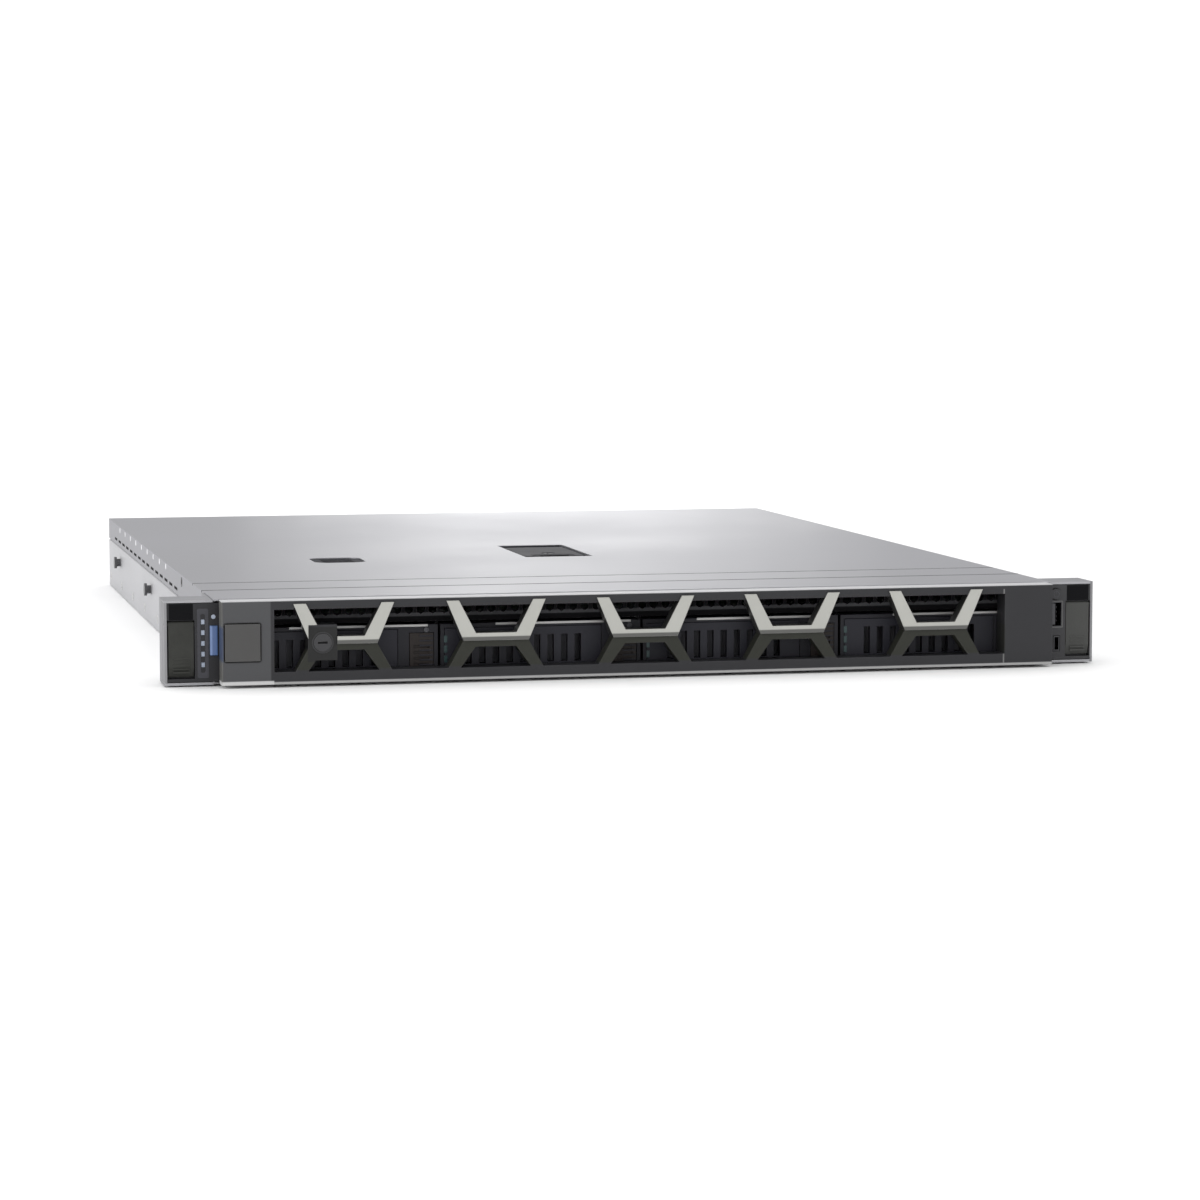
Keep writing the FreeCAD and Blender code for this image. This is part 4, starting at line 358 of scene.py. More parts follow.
@dataclass(frozen=True)
class Finish:
    """A surface finish: a clouded base colour, rubbed edges, and a grain in its gloss and relief."""

    name: str
    colour: Colour
    worn: Colour
    metallic: float = 0.0
    roughness: float = 0.5
    clouds: float = 18.0
    grain: float = 1500.0
    tone: float = 0.08
    gloss_spread: float = 0.06
    relief: float = 0.25
    relief_depth: float = 0.00003
    edge: float = 0.0003
    wear: float = 0.5
    coat: float = 0.0
    specular: float = 0.5
    grazing: float = 1.0
    bands: tuple[Band, ...] = ()

    def material(self) -> bpy.types.Material:
        """Gives the finish's material, which is built once."""
        made = bpy.data.materials.get(self.name)
        if made is None:
            made = bpy.data.materials.new(self.name)
            made.use_nodes = True
            self.dress(Graph(made.node_tree), made.node_tree.nodes["Principled BSDF"])
            made.diffuse_color = (*self.colour, 1.0)
        return made

    def pattern(self, graph: Graph, base: bpy.types.NodeSocket) -> bpy.types.NodeSocket:
        """Lays a further pattern over the base colour. The plain finish has none.

        Args:
            graph: The material's graph.
            base: The clouded base colour.

        Returns:
            The patterned colour.
        """
        return base

    def lay_bands(self, graph: Graph, base: object) -> tuple[object, list[bpy.types.NodeSocket]]:
        """Lays the bands over the base colour.

        Args:
            graph: The material's graph.
            base: The patterned base colour.

        Returns:
            The banded colour, and the shares of the matt bands.
        """
        matt = []
        for band in self.bands:
            share = band.share(graph)
            base = graph.blend(share, base, band.colour)
            if band.matt:
                matt.append(share)
        return base, matt

    def dull(
        self, graph: Graph, shader: bpy.types.Node, matt: list[bpy.types.NodeSocket], gloss: object
    ) -> object:
        """Takes the metal and the gloss away under the matt bands.

        Args:
            graph: The material's graph.
            shader: Its Principled node.
            matt: Shares of the matt bands.
            gloss: Roughness of the finish.

        Returns:
            The roughness with the bands in it.
        """
        whole = matt[0]
        for share in matt[1:]:
            whole = graph.math("MAXIMUM", whole, share)
        graph.feed(graph.spread(whole, (0.0, 1.0), (self.metallic, 0.0)), shader.inputs["Metallic"])
        specular = graph.spread(whole, (0.0, 1.0), (self.specular, MATT_SPECULAR))
        graph.feed(specular, shader.inputs["Specular IOR Level"])
        return graph.math("MAXIMUM", gloss, graph.math("MULTIPLY", whole, MATT_ROUGHNESS))

    def dress(self, graph: Graph, shader: bpy.types.Node) -> None:
        """Builds the nodes that feed the shader.

        Args:
            graph: The material's graph.
            shader: Its Principled node.
        """
        shader.inputs["Metallic"].default_value = self.metallic
        shader.inputs["Specular IOR Level"].default_value = self.specular
        shader.inputs["Specular Tint"].default_value = (self.grazing, self.grazing, self.grazing, 1.0)
        shader.inputs["Coat Weight"].default_value = self.coat
        mottle = Effect.MOTTLE.place(graph, Coarse=self.clouds, Fine=self.grain, Cloud=0.6)
        edges = Effect.EDGES.place(graph, Radius=self.edge, Patches=90.0)
        dark, light = tinted(self.colour, -self.tone), tinted(self.colour, self.tone)
        base = graph.blend(mottle.outputs["Tone"], dark, light)
        base, matt = self.lay_bands(graph, self.pattern(graph, base))
        rubbed = graph.math("MULTIPLY", edges.outputs["Mask"], self.wear)
        graph.feed(graph.blend(rubbed, base, self.worn), shader.inputs["Base Color"])
        least, most = self.roughness - self.gloss_spread, self.roughness + self.gloss_spread
        gloss = graph.spread(mottle.outputs["Tone"], (0.0, 1.0), (least, most))
        if matt:
            gloss = self.dull(graph, shader, matt, gloss)
        graph.feed(gloss, shader.inputs["Roughness"])
        relief = graph.add(
            "ShaderNodeBump",
            {
                "Strength": self.relief,
                "Distance": self.relief_depth,
                "Height": mottle.outputs["Height"],
                "Normal": edges.outputs["Normal"],
            },
        )
        graph.feed(relief.outputs[0], shader.inputs["Normal"])


@dataclass(frozen=True)
class RolledSteel(Finish):
    """Zinc-plated sheet with faint streaks from the mill."""

    streaks: float = 0.10
    streak_tone: float = -0.45
    along: float = 5.0
    across: float = 500.0

    def pattern(self, graph: Graph, base: bpy.types.NodeSocket) -> bpy.types.NodeSocket:
        """Darkens the sheet along its streaks.

        Args:
            graph: The material's graph.
            base: The clouded base colour.

        Returns:
            The streaked colour.
        """
        streak = Effect.STREAKS.place(graph, Along=self.along, Across=self.across).outputs["Streak"]
        share = graph.math("MULTIPLY", streak, self.streaks)
        return graph.blend(share, base, tinted(self.colour, self.streak_tone))


@dataclass(frozen=True)
class Laminate(Finish):
    """Circuit board with copper tracks under its lacquer and tinned pads."""

    track: Colour = (0.03, 0.20, 0.10)
    pad: Colour = (0.60, 0.55, 0.40)
    track_scale: float = 260.0
    track_edge: float = 0.62
    patch_scale: float = 34.0
    patch_edges: Span = (0.55, 0.6)
    pad_scale: float = 330.0
    pad_size: float = 0.16

    def pattern(self, graph: Graph, base: bpy.types.NodeSocket) -> bpy.types.NodeSocket:
        """Draws bundles of parallel tracks in patches, and dots where they end.

        Args:
            graph: The material's graph.
            base: The clouded base colour.

        Returns:
            The board's colour.
        """
        spot = graph.spot()
        runs = []
        for axis in ("X", "Y", "DIAGONAL"):
            wave = graph.add(
                "ShaderNodeTexWave", {"Vector": spot, "Scale": self.track_scale},
                wave_type="BANDS", bands_direction=axis,
            )
            runs.append(graph.math("GREATER_THAN", wave.outputs[1], self.track_edge))
        cells = graph.add(
            "ShaderNodeTexVoronoi", {"Vector": spot, "Scale": self.patch_scale}, distance="CHEBYCHEV"
        )
        pick = graph.add("ShaderNodeSeparateColor", {0: cells.outputs["Color"]})
        first = graph.math("GREATER_THAN", pick.outputs[0], self.patch_edges[0])
        second = graph.math("GREATER_THAN", pick.outputs[1], self.patch_edges[1])
        straight = graph.blend(first, runs[0], runs[1])
        tracks = graph.blend(second, straight, runs[2])
        vias = graph.add("ShaderNodeTexVoronoi", {"Vector": spot, "Scale": self.pad_scale})
        dots = graph.math("LESS_THAN", vias.outputs["Distance"], self.pad_size)
        tracked = graph.blend(graph.math("MULTIPLY", tracks, 0.75), base, self.track)
        return graph.blend(graph.math("MULTIPLY", dots, 0.8), tracked, self.pad)


@dataclass(frozen=True)
class Lamp(Finish):
    """Clear light guide that glows, stronger towards one end."""

    glow: Colour = (0.6, 0.75, 1.0)
    far_glow: Colour = (0.1, 0.2, 0.8)
    strength: float = 3.0
    axis: str = "Z"
    reach: Span = (15.0, 29.0)

    def dress(self, graph: Graph, shader: bpy.types.Node) -> None:
        """Adds the glow to the plain finish.

        Args:
            graph: The material's graph.
            shader: Its Principled node.
        """
        super().dress(graph, shader)
        spot = graph.spot()
        along = graph.add("ShaderNodeSeparateXYZ", {0: spot}).outputs[self.axis]
        share = graph.spread(along, (self.reach[0] * MM, self.reach[1] * MM), (0.0, 1.0))
        clouds = graph.add("ShaderNodeTexNoise", {"Vector": spot, "Scale": 260.0, "Detail": 2.0}).outputs[0]
        share = graph.math("MULTIPLY", share, graph.spread(clouds, (0.3, 0.7), (0.75, 1.0)))
        graph.feed(graph.blend(share, self.far_glow, self.glow), shader.inputs["Emission Color"])
        shader.inputs["Emission Strength"].default_value = self.strength


class Shaper:
    """Collects closed solids drawn in millimetres and hands them over as one mesh in metres."""

    def __init__(self) -> None:
        """Starts with no solids."""
        self.mesh = bmesh.new()

    def prism(self, plane: Plane, outline: Outline, low: float, high: float) -> None:
        """Adds an outline pushed from one depth to another.

        Args:
            plane: The plane it is drawn in.
            outline: Its corners in order.
            low: Depth of the first end.
            high: Depth of the second end.
        """
        near = [self.mesh.verts.new(plane.spot(x, y, low)) for x, y in outline]
        far = [self.mesh.verts.new(plane.spot(x, y, high)) for x, y in outline]
        count = len(outline)
        self.mesh.faces.new(near)
        self.mesh.faces.new(far[::-1])
        for index in range(count):
            after = (index + 1) % count
            self.mesh.faces.new((near[index], far[index], far[after], near[after]))

    def block(self, x: Span, y: Span, z: Span) -> None:
        """Adds a block between two places on each axis."""
        self.prism(Plane.XY, [(x[0], y[0]), (x[1], y[0]), (x[1], y[1]), (x[0], y[1])], z[0], z[1])

    def disc(self, plane: Plane, centre: Span, radius: float, depth: Span, sides: int = 24) -> None:
        """Adds a round plate or bar."""
        self.prism(plane, ring_of(centre, radius, sides), depth[0], depth[1])

    def washer(self, plane: Plane, outer: Outline, inner: Outline, depth: Span) -> None:
        """Adds a flat frame between two outlines that have as many corners.

        Args:
            plane: The plane it is drawn in.
            outer: Corners of the outside.
            inner: Corners of the hole, in the same order.
            depth: Its two faces.
        """
        loops = []
        for outline in (outer, inner):
            for level in depth:
                loops.append([self.mesh.verts.new(plane.spot(x, y, level)) for x, y in outline])
        outer_low, outer_high, inner_low, inner_high = loops
        count = len(outer_low)
        for index in range(count):
            after = (index + 1) % count
            for first, second in (
                (outer_low, outer_high),
                (outer_high, inner_high),
                (inner_high, inner_low),
                (inner_low, outer_low),
            ):
                self.mesh.faces.new((first[index], first[after], second[after], second[index]))

    def sweep(self, path: Sequence[Place], radius: float, sides: int = 10) -> None:
        """Adds a round bar along a path, closed at both ends.

        Args:
            path: Places along its middle.
            radius: Its radius.
            sides: Corners of its section.
        """
        spots = [Vector(place) * MM for place in path]
        rings = []
        for index, spot in enumerate(spots):
            before = spots[max(0, index - 1)]
            after = spots[min(len(spots) - 1, index + 1)]
            along = (after - before).normalized()
            upright = Vector((0.0, 0.0, 1.0)) if abs(along.z) < 0.9 else Vector((1.0, 0.0, 0.0))
            side = along.cross(upright).normalized()
            over = side.cross(along)
            ring = []
            for step in range(sides):
                turn = 2.0 * math.pi * step / sides
                out = side * math.cos(turn) + over * math.sin(turn)
                ring.append(self.mesh.verts.new(spot + out * radius * MM))
            rings.append(ring)
        for first, second in zip(rings, rings[1:]):
            for step in range(sides):
                after = (step + 1) % sides
                self.mesh.faces.new((first[step], first[after], second[after], second[step]))
        self.mesh.faces.new(rings[0][::-1])
        self.mesh.faces.new(rings[-1])

    def hand_over(self, name: str, finish: Finish, round_to: float = 0.0) -> bpy.types.Object:
        """Makes the object.

        Args:
            name: Name of the object.
            finish: Its finish.
            round_to: Width of a live bevel on its edges in millimetres, or none.

        Returns:
            The object, with its place in its mesh.
        """
        bmesh.ops.recalc_face_normals(self.mesh, faces=self.mesh.faces)
        mesh = bpy.data.meshes.new(name)
        self.mesh.to_mesh(mesh)
        self.mesh.free()
        mesh.materials.append(finish.material())
        made = bpy.data.objects.new(name, mesh)
        bpy.context.scene.collection.objects.link(made)
        if round_to:
            bevel = made.modifiers.new("Rounded edges", "BEVEL")
            bevel.width = round_to * MM
            bevel.segments = 2
            bevel.limit_method = "ANGLE"
            bevel.angle_limit = math.radians(40.0)
        return made


def ring_of(centre: Span, radius: float, sides: int = 24, start: float = 0.0) -> list[Span]:
    """Places evenly round a circle.

    Args:
        centre: Its centre in the plane.
        radius: Its radius.
        sides: How many places.
        start: Angle of the first, in degrees.

    Returns:
        The places in order.
    """
    turns = [math.radians(start) + 2.0 * math.pi * step / sides for step in range(sides)]
    return [(centre[0] + radius * math.cos(turn), centre[1] + radius * math.sin(turn)) for turn in turns]


def rounded_box(centre: Span, width: float, height: float, corner: float, steps: int = 5) -> list[Span]:
    """Outline of a rectangle with round corners.

    Args:
        centre: Its centre in the plane.
        width: Its width.
        height: Its height.
        corner: Radius of its corners.
        steps: Places on each corner.

    Returns:
        The corners in order.
    """
    spots = []
    for index, (over, up) in enumerate(((1, 1), (-1, 1), (-1, -1), (1, -1))):
        middle = (centre[0] + over * (width / 2 - corner), centre[1] + up * (height / 2 - corner))
        for step in range(steps + 1):
            turn = math.radians(90.0 * index + 90.0 * step / steps)
            spots.append((middle[0] + corner * math.cos(turn), middle[1] + corner * math.sin(turn)))
    return spots


class Detail(Enum):
    """Small repeated parts that Geometry Nodes set out."""

    SCREW = "Socket head screw"
    BLOCK = "Small block"
    CAN = "Round can"
    EYELET = "Eyelet"
    HONEYCOMB = "Honeycomb sheet"


class DetailTree(Graph):
    """A Geometry Nodes tree for one kind of repeated part, built once with named inputs for its sizes."""

    SIZES = {
        Detail.SCREW: {"Head Radius": 2.5, "Head Height": 1.2, "Socket Radius": 1.2, "Socket Depth": 0.8},
        Detail.BLOCK: {"Width": 1.0, "Length": 1.0, "Height": 1.0},
        Detail.CAN: {"Radius": 3.0, "Height": 8.0, "Rim": 0.4},
        Detail.EYELET: {"Radius": 2.0, "Hole Radius": 1.2, "Height": 0.4},
        Detail.HONEYCOMB: {"Columns": 10.0, "Rows": 4.0, "Pitch": 3.0, "Web": 0.4, "Thickness": 0.5},
    }

    def __init__(self, kind: Detail) -> None:
        """Builds the tree of one kind.

        Args:
            kind: The part it makes.
        """
        super().__init__(bpy.data.node_groups.new(kind.value, "GeometryNodeTree"))
        self.kind = kind
        sockets = self.tree.interface
        sockets.new_socket("Geometry", in_out="INPUT", socket_type="NodeSocketGeometry")
        for name, usual in self.SIZES[kind].items():
            socket = sockets.new_socket(name, in_out="INPUT", socket_type="NodeSocketFloat")
            socket.default_value = usual
        seed = sockets.new_socket("Seed", in_out="INPUT", socket_type="NodeSocketInt")
        seed.default_value = 7
        sockets.new_socket("Material", in_out="INPUT", socket_type="NodeSocketMaterial")
        sockets.new_socket("Geometry", in_out="OUTPUT", socket_type="NodeSocketGeometry")
        self.given = self.add("NodeGroupInput").outputs
        self.finish_tree()

    def finish_tree(self) -> None:
        """Joins the part, its places and its material up to the tree's output."""
        if self.kind is Detail.HONEYCOMB:
            placed = self.honeycomb()
        else:
            makers = {
                Detail.SCREW: self.screw,
                Detail.BLOCK: self.block,
                Detail.CAN: self.can,
                Detail.EYELET: self.eyelet,
            }
            placed = self.on_places(makers[self.kind]())
        real = self.add("GeometryNodeRealizeInstances", {0: placed}).outputs[0]
        material = self.given["Material"]
        dressed = self.add("GeometryNodeSetMaterial", {"Geometry": real, "Material": material}).outputs[0]
        self.add("NodeGroupOutput", {"Geometry": dressed})

    def on_places(self, part: bpy.types.NodeSocket) -> bpy.types.NodeSocket:
        """Puts the part on every point, facing the point's way, and gives each screw a random turn.

        Args:
            part: The part's mesh.

        Returns:
            The instances.
        """
        facing = self.add(
            "GeometryNodeInputNamedAttribute", {"Name": "facing"}, data_type="FLOAT_VECTOR"
        ).outputs[0]
        turn = self.add("FunctionNodeAlignRotationToVector", {"Vector": facing}, axis="Z").outputs[0]
        points = self.given["Geometry"]
        placed = self.add(
            "GeometryNodeInstanceOnPoints", {"Points": points, "Instance": part, "Rotation": turn}
        ).outputs[0]
        if self.kind is not Detail.SCREW:
            return placed
        spin = self.add(
            "FunctionNodeRandomValue", {2: 0.0, 3: math.pi, "Seed": self.given["Seed"]}, data_type="FLOAT"
        ).outputs[1]
        about = self.add("ShaderNodeCombineXYZ", {2: spin}).outputs[0]
        return self.add("GeometryNodeRotateInstances", {"Instances": placed, "Rotation": about}).outputs[0]

    def cylinder(self, radius: object, depth: object, sides: int, lift: object = 0.0) -> bpy.types.NodeSocket:
        """Makes an upright cylinder.

        Args:
            radius: Its radius.
            depth: Its height.
            sides: Its sides.
            lift: Height of its middle.

        Returns:
            Its mesh.
        """
        made = self.add(
            "GeometryNodeMeshCylinder", {"Vertices": sides, "Radius": radius, "Depth": depth}
        ).outputs[0]
        up = self.add("ShaderNodeCombineXYZ", {2: lift}).outputs[0]
        return self.add("GeometryNodeTransform", {"Geometry": made, "Translation": up}).outputs[0]

    def without(self, base: bpy.types.NodeSocket, tool: bpy.types.NodeSocket) -> bpy.types.NodeSocket:
        """Takes one mesh away from another."""
        return self.add("GeometryNodeMeshBoolean", {0: base, 1: tool}, operation="DIFFERENCE").outputs[0]

    def screw(self) -> bpy.types.NodeSocket:
        """Makes a chamfered head with a six-sided socket."""
        head = self.add(
            "GeometryNodeMeshCone",
            {
                "Vertices": 20,
                "Radius Top": self.math("MULTIPLY", self.given["Head Radius"], 0.82),
                "Radius Bottom": self.given["Head Radius"],
                "Depth": self.given["Head Height"],
            },
        ).outputs[0]
        deep = self.math("MULTIPLY", self.given["Socket Depth"], 2.0)
        socket = self.cylinder(self.given["Socket Radius"], deep, 6, self.given["Head Height"])
        return self.without(head, socket)

    def block(self) -> bpy.types.NodeSocket:
        """Makes a block of the three named sizes."""
        size = self.add(
            "ShaderNodeCombineXYZ", {0: self.given["Width"], 1: self.given["Length"], 2: self.given["Height"]}
        ).outputs[0]
        return self.add("GeometryNodeMeshCube", {"Size": size}).outputs[0]

    def can(self) -> bpy.types.NodeSocket:
        """Makes an upright can with a slightly narrower lid."""
        middle = self.math("MULTIPLY", self.given["Height"], 0.5)
        wall = self.cylinder(self.given["Radius"], self.given["Height"], 16, middle)
        lid_radius = self.math("SUBTRACT", self.given["Radius"], self.given["Rim"])
        lid = self.cylinder(lid_radius, self.given["Rim"], 16, self.math("ADD", self.given["Height"], 0.0001))
        return self.add("GeometryNodeJoinGeometry", {"Geometry": wall, 0: lid}).outputs[0]

    def eyelet(self) -> bpy.types.NodeSocket:
        """Makes a flat ring."""
        plate = self.cylinder(self.given["Radius"], self.given["Height"], 16)
        hole = self.cylinder(self.given["Hole Radius"], self.math("MULTIPLY", self.given["Height"], 3.0), 16)
        return self.without(plate, hole)

    def honeycomb(self) -> bpy.types.NodeSocket:
        """Makes a standing sheet of six-sided cells, every other row half a pitch across."""
        pitch = self.given["Pitch"]
        outer = self.math("DIVIDE", pitch, math.sqrt(3.0))
        inner = self.math("SUBTRACT", outer, self.given["Web"])
        ring = self.without(
            self.cylinder(outer, self.given["Thickness"], 6),
            self.cylinder(inner, self.math("MULTIPLY", self.given["Thickness"], 3.0), 6),
        )
        columns, rows = self.given["Columns"], self.given["Rows"]
        index = self.add("GeometryNodeInputIndex").outputs[0]
        row = self.math("FLOOR", self.math("DIVIDE", index, columns))
        column = self.math("MODULO", index, columns)
        shift = self.math("MULTIPLY", self.math("MODULO", row, 2.0), 0.5)
        across = self.math("MULTIPLY", self.math("ADD", column, shift), pitch)
        up = self.math("MULTIPLY", row, self.math("MULTIPLY", pitch, math.sqrt(3.0) / 2.0))
        spot = self.add("ShaderNodeCombineXYZ", {0: across, 2: up}).outputs[0]
        points = self.add("GeometryNodePoints", {0: self.math("MULTIPLY", columns, rows), 1: spot}).outputs[0]
        turn = self.add("FunctionNodeEulerToRotation", {0: (math.pi / 2.0, 0.0, 0.0)}).outputs[0]
        cells = self.add("ShaderNodeCombineXYZ", {2: math.pi / 6.0}).outputs[0]
        upright = self.add("GeometryNodeTransform", {"Geometry": ring, "Rotation": cells}).outputs[0]
        placed = self.add(
            "GeometryNodeInstanceOnPoints", {"Points": points, "Instance": upright, "Rotation": turn}
        ).outputs[0]
        origin = self.given["Geometry"]
        spots = self.add("GeometryNodeInputPosition").outputs[0]
        corner = self.add(
            "GeometryNodeSampleIndex", {"Geometry": origin, "Value": spots}, data_type="FLOAT_VECTOR"
        ).outputs[0]
        return self.add("GeometryNodeTransform", {"Geometry": placed, "Translation": corner}).outputs[0]


trees: dict[Detail, DetailTree] = {}


@dataclass
class Spots:
    """Places in millimetres for one kind of repeated part, each with the way it faces."""

    places: list[Place] = field(default_factory=list)
    ways: list[Place] = field(default_factory=list)

    def put(self, places: Iterable[Place], facing: Facing) -> "Spots":
        """Adds places that all face one way.

        Args:
            places: The places.
            facing: The way they face.

        Returns:
            These spots, for another call.
        """
        for place in places:
            self.places.append(place)
            self.ways.append(facing.value)
        return self

    def grow(self, name: str, kind: Detail, finish: Finish, **sizes: float) -> bpy.types.Object:
        """Sets the parts out with Geometry Nodes and turns them into a plain mesh.

        Args:
            name: Name of the piece.
            kind: The kind of part.
            finish: Its finish.
            sizes: Named sizes in millimetres, or plain counts, with spaces written as underscores.

        Returns:
            The piece.
        """
        if kind not in trees:
            trees[kind] = DetailTree(kind)
        points = bpy.data.meshes.new(f"{name}_points")
        points.from_pydata([Vector(place) * MM for place in self.places], [], [])
        ways = points.attributes.new("facing", "FLOAT_VECTOR", "POINT")
        ways.data.foreach_set("vector", [part for way in self.ways for part in way])
        carrier = bpy.data.objects.new(f"{name}_points", points)
        bpy.context.scene.collection.objects.link(carrier)
        growth = carrier.modifiers.new(kind.value, "NODES")
        growth.node_group = trees[kind].tree
        named = {item.name: item for item in trees[kind].tree.interface.items_tree if item.in_out == "INPUT"}
        growth[named["Material"].identifier] = finish.material()
        for key, size in sizes.items():
            counts = key in ("Columns", "Rows")
            growth[named[key.replace("_", " ")].identifier] = float(size) if counts else size * MM
        shown = carrier.evaluated_get(bpy.context.evaluated_depsgraph_get())
        mesh = bpy.data.meshes.new_from_object(shown)
        carrier.modifiers.remove(growth)
        bpy.data.objects.remove(carrier)
        bpy.data.meshes.remove(points)
        mesh.name = name
        if "facing" in mesh.attributes:
            mesh.attributes.remove(mesh.attributes["facing"])
        piece = bpy.data.objects.new(name, mesh)
        bpy.context.scene.collection.objects.link(piece)
        return piece


def row(first: Place, step: Place, count: int) -> list[Place]:
    """Places evenly along a line.

    Args:
        first: The first place.
        step: From one place to the next.
        count: How many.

    Returns:
        The places in order.
    """
    return [tuple(start + move * index for start, move in zip(first, step)) for index in range(count)]


@dataclass
class Assembly:
    """One sub-assembly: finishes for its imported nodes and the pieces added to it."""

    title: str = "assembly"
    pieces: list[bpy.types.Object] = field(default_factory=list)

    def finishes(self) -> dict[str, Finish]:
        """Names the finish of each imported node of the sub-assembly."""
        return {}

    def dress(self) -> None:
        """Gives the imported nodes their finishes."""
        for node, finish in self.finishes().items():
            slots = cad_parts[node].data.materials
            slots.clear()
            slots.append(finish.material())

    def build(self) -> None:
        """Makes the added pieces. The plain sub-assembly has none."""

    def mount(self, piece: bpy.types.Object, body: str, slot: Slot, *stands_for: str) -> bpy.types.Object:
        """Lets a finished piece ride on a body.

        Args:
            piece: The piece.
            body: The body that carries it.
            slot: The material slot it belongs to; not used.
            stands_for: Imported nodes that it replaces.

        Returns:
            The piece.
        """
        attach(piece, body)
        if stands_for:
            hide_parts(*stands_for)
        self.pieces.append(piece)
        return piece


def corners(node: str) -> tuple[Vector, Vector]:
    """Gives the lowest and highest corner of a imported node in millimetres."""
    low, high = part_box(node)
    return low / MM, high / MM


# Finishes of the server, by what they cover
LID_STEEL = RolledSteel(
    "lid_steel", (0.47, 0.47, 0.50), (0.82, 0.82, 0.84), metallic=0.9, roughness=0.36, clouds=7.0, tone=0.05,
    gloss_spread=0.05, relief=0.12, edge=0.0004, wear=0.35, streaks=0.06, across=350.0, grazing=0.55,
    bands=(
        # Painted shade: these two dark matt bands stand for the shaded step at the lid's front seam and at the
        # bead behind it.
        Band((0.05, 0.05, 0.055), y=(-232.6, -230.6), z=(42.0, 44.0), soft=0.5, matt=True),
        Band((0.05, 0.05, 0.055), y=(-191.7, -190.0), z=(42.0, 44.0), soft=0.5, matt=True),
    ),
)
WALL_STEEL = RolledSteel(
    "wall_steel", (0.64, 0.64, 0.66), (0.85, 0.85, 0.86), metallic=0.8, roughness=0.42, clouds=14.0,
    tone=0.07, gloss_spread=0.07, relief=0.2, edge=0.0003, wear=0.4, streaks=0.08, grazing=0.6,
)
EDGE_STEEL = RolledSteel(
    "ear_steel", (0.40, 0.40, 0.42), (0.62, 0.62, 0.63), metallic=0.85, roughness=0.4, clouds=30.0,
    tone=0.07, relief=0.2, wear=0.5, streaks=0.1, grazing=0.5,
    bands=(
        Band((0.27, 0.27, 0.28), x=(-242.0, -239.7), y=(-280.0, -267.0), z=(1.8, 41.2), soft=0.4, matt=True),
        # Painted shade: the right ear's outer rim is darkened at its front edge, where it catches less light
        # than the left rim.
        Band((0.25, 0.25, 0.26), x=(239.7, 242.0), y=(-280.0, -278.0), soft=0.4),
    ),
)
BARE_STEEL = Finish(
    "bare_steel", (0.62, 0.62, 0.61), (0.9, 0.9, 0.9), metallic=1.0, roughness=0.3, clouds=60.0, tone=0.1,
    relief=0.15, edge=0.0002, wear=0.6,
)
DRIVE_STEEL = Finish(
    "drive_steel", (0.10, 0.10, 0.11), (0.3, 0.3, 0.3), metallic=0.8, roughness=0.5, clouds=60.0, wear=0.4,
    grazing=0.4,
)
# Painted shade: the rail studs' steel is made very dark to stand for the shade they sit in.
STUD_STEEL = Finish(
    "stud_steel", (0.10, 0.10, 0.105), (0.5, 0.5, 0.5), metallic=0.9, roughness=0.38, clouds=120.0, wear=0.8,
)
LOCK_STEEL = Finish(
    "lock_steel", (0.055, 0.055, 0.058), (0.25, 0.25, 0.25), metallic=0.3, roughness=0.5, clouds=120.0,
    wear=0.5, specular=0.3,
)
PORT_STEEL = Finish(
    "port_steel", (0.075, 0.075, 0.08), (0.25, 0.25, 0.25), metallic=0.9, roughness=0.35, clouds=90.0,
    edge=0.0002, wear=0.5, grazing=0.5,
)
GOLD = Finish(
    "contact_gold", (0.83, 0.58, 0.22), (0.95, 0.8, 0.45), metallic=1.0, roughness=0.25, clouds=300.0,
)
ALUMINIUM = RolledSteel(
    "bare_aluminium", (0.70, 0.71, 0.72), (0.9, 0.9, 0.9), metallic=1.0, roughness=0.34, clouds=30.0,
    streaks=0.15,
)
BEZEL_PLASTIC = Finish(
    "bezel_plastic", (0.027, 0.027, 0.030), (0.16, 0.16, 0.17), roughness=0.5, clouds=40.0, grain=2600.0,
    tone=0.10, relief=0.35, relief_depth=0.00004, edge=0.0005, wear=0.35, specular=0.28,
    bands=(
        Band((0.024, 0.025, 0.019), x=(-188.0, 188.0), z=(8.5, 22.0), soft=1.0),
        Band((0.016, 0.016, 0.016), x=(-172.0, -157.5), z=(12.0, 29.0), soft=0.2),
        Band((0.068, 0.069, 0.073), x=(-216.0, -190.5), soft=0.6),
        # Painted highlight: a light line down the bezel's left end, where its end face catches the light.
        Band((0.11, 0.11, 0.105), x=(-216.0, -213.9), soft=0.2),
        # Painted highlight: a light line down the left-facing edge of the right end panel.
        Band((0.155, 0.155, 0.155), x=(187.7, 188.3), y=(-293.0, -290.4), z=(2.5, 40.5), soft=0.15),
        # Painted highlight: the bezel's top edge is lightened where it catches the light under the lid.
        Band((0.46, 0.46, 0.47), z=(42.3, 44.0), soft=0.15),
        # Painted reflection: the bezel's bottom edge is lightened as if it reflects the pale floor, more so at
        # the left end.
        Band((0.36, 0.36, 0.36), z=(0.0, 2.2), soft=0.5),
        Band((0.55, 0.55, 0.55), x=(-216.0, -189.0), z=(0.0, 2.8), soft=0.5),
        # Painted light: a soft blue glow on the bezel's left end, cast by the identity lamp beside it.
        Band((0.050, 0.065, 0.110), x=(-216.0, -213.0), z=(14.0, 29.0), soft=1.6),
    ),
)
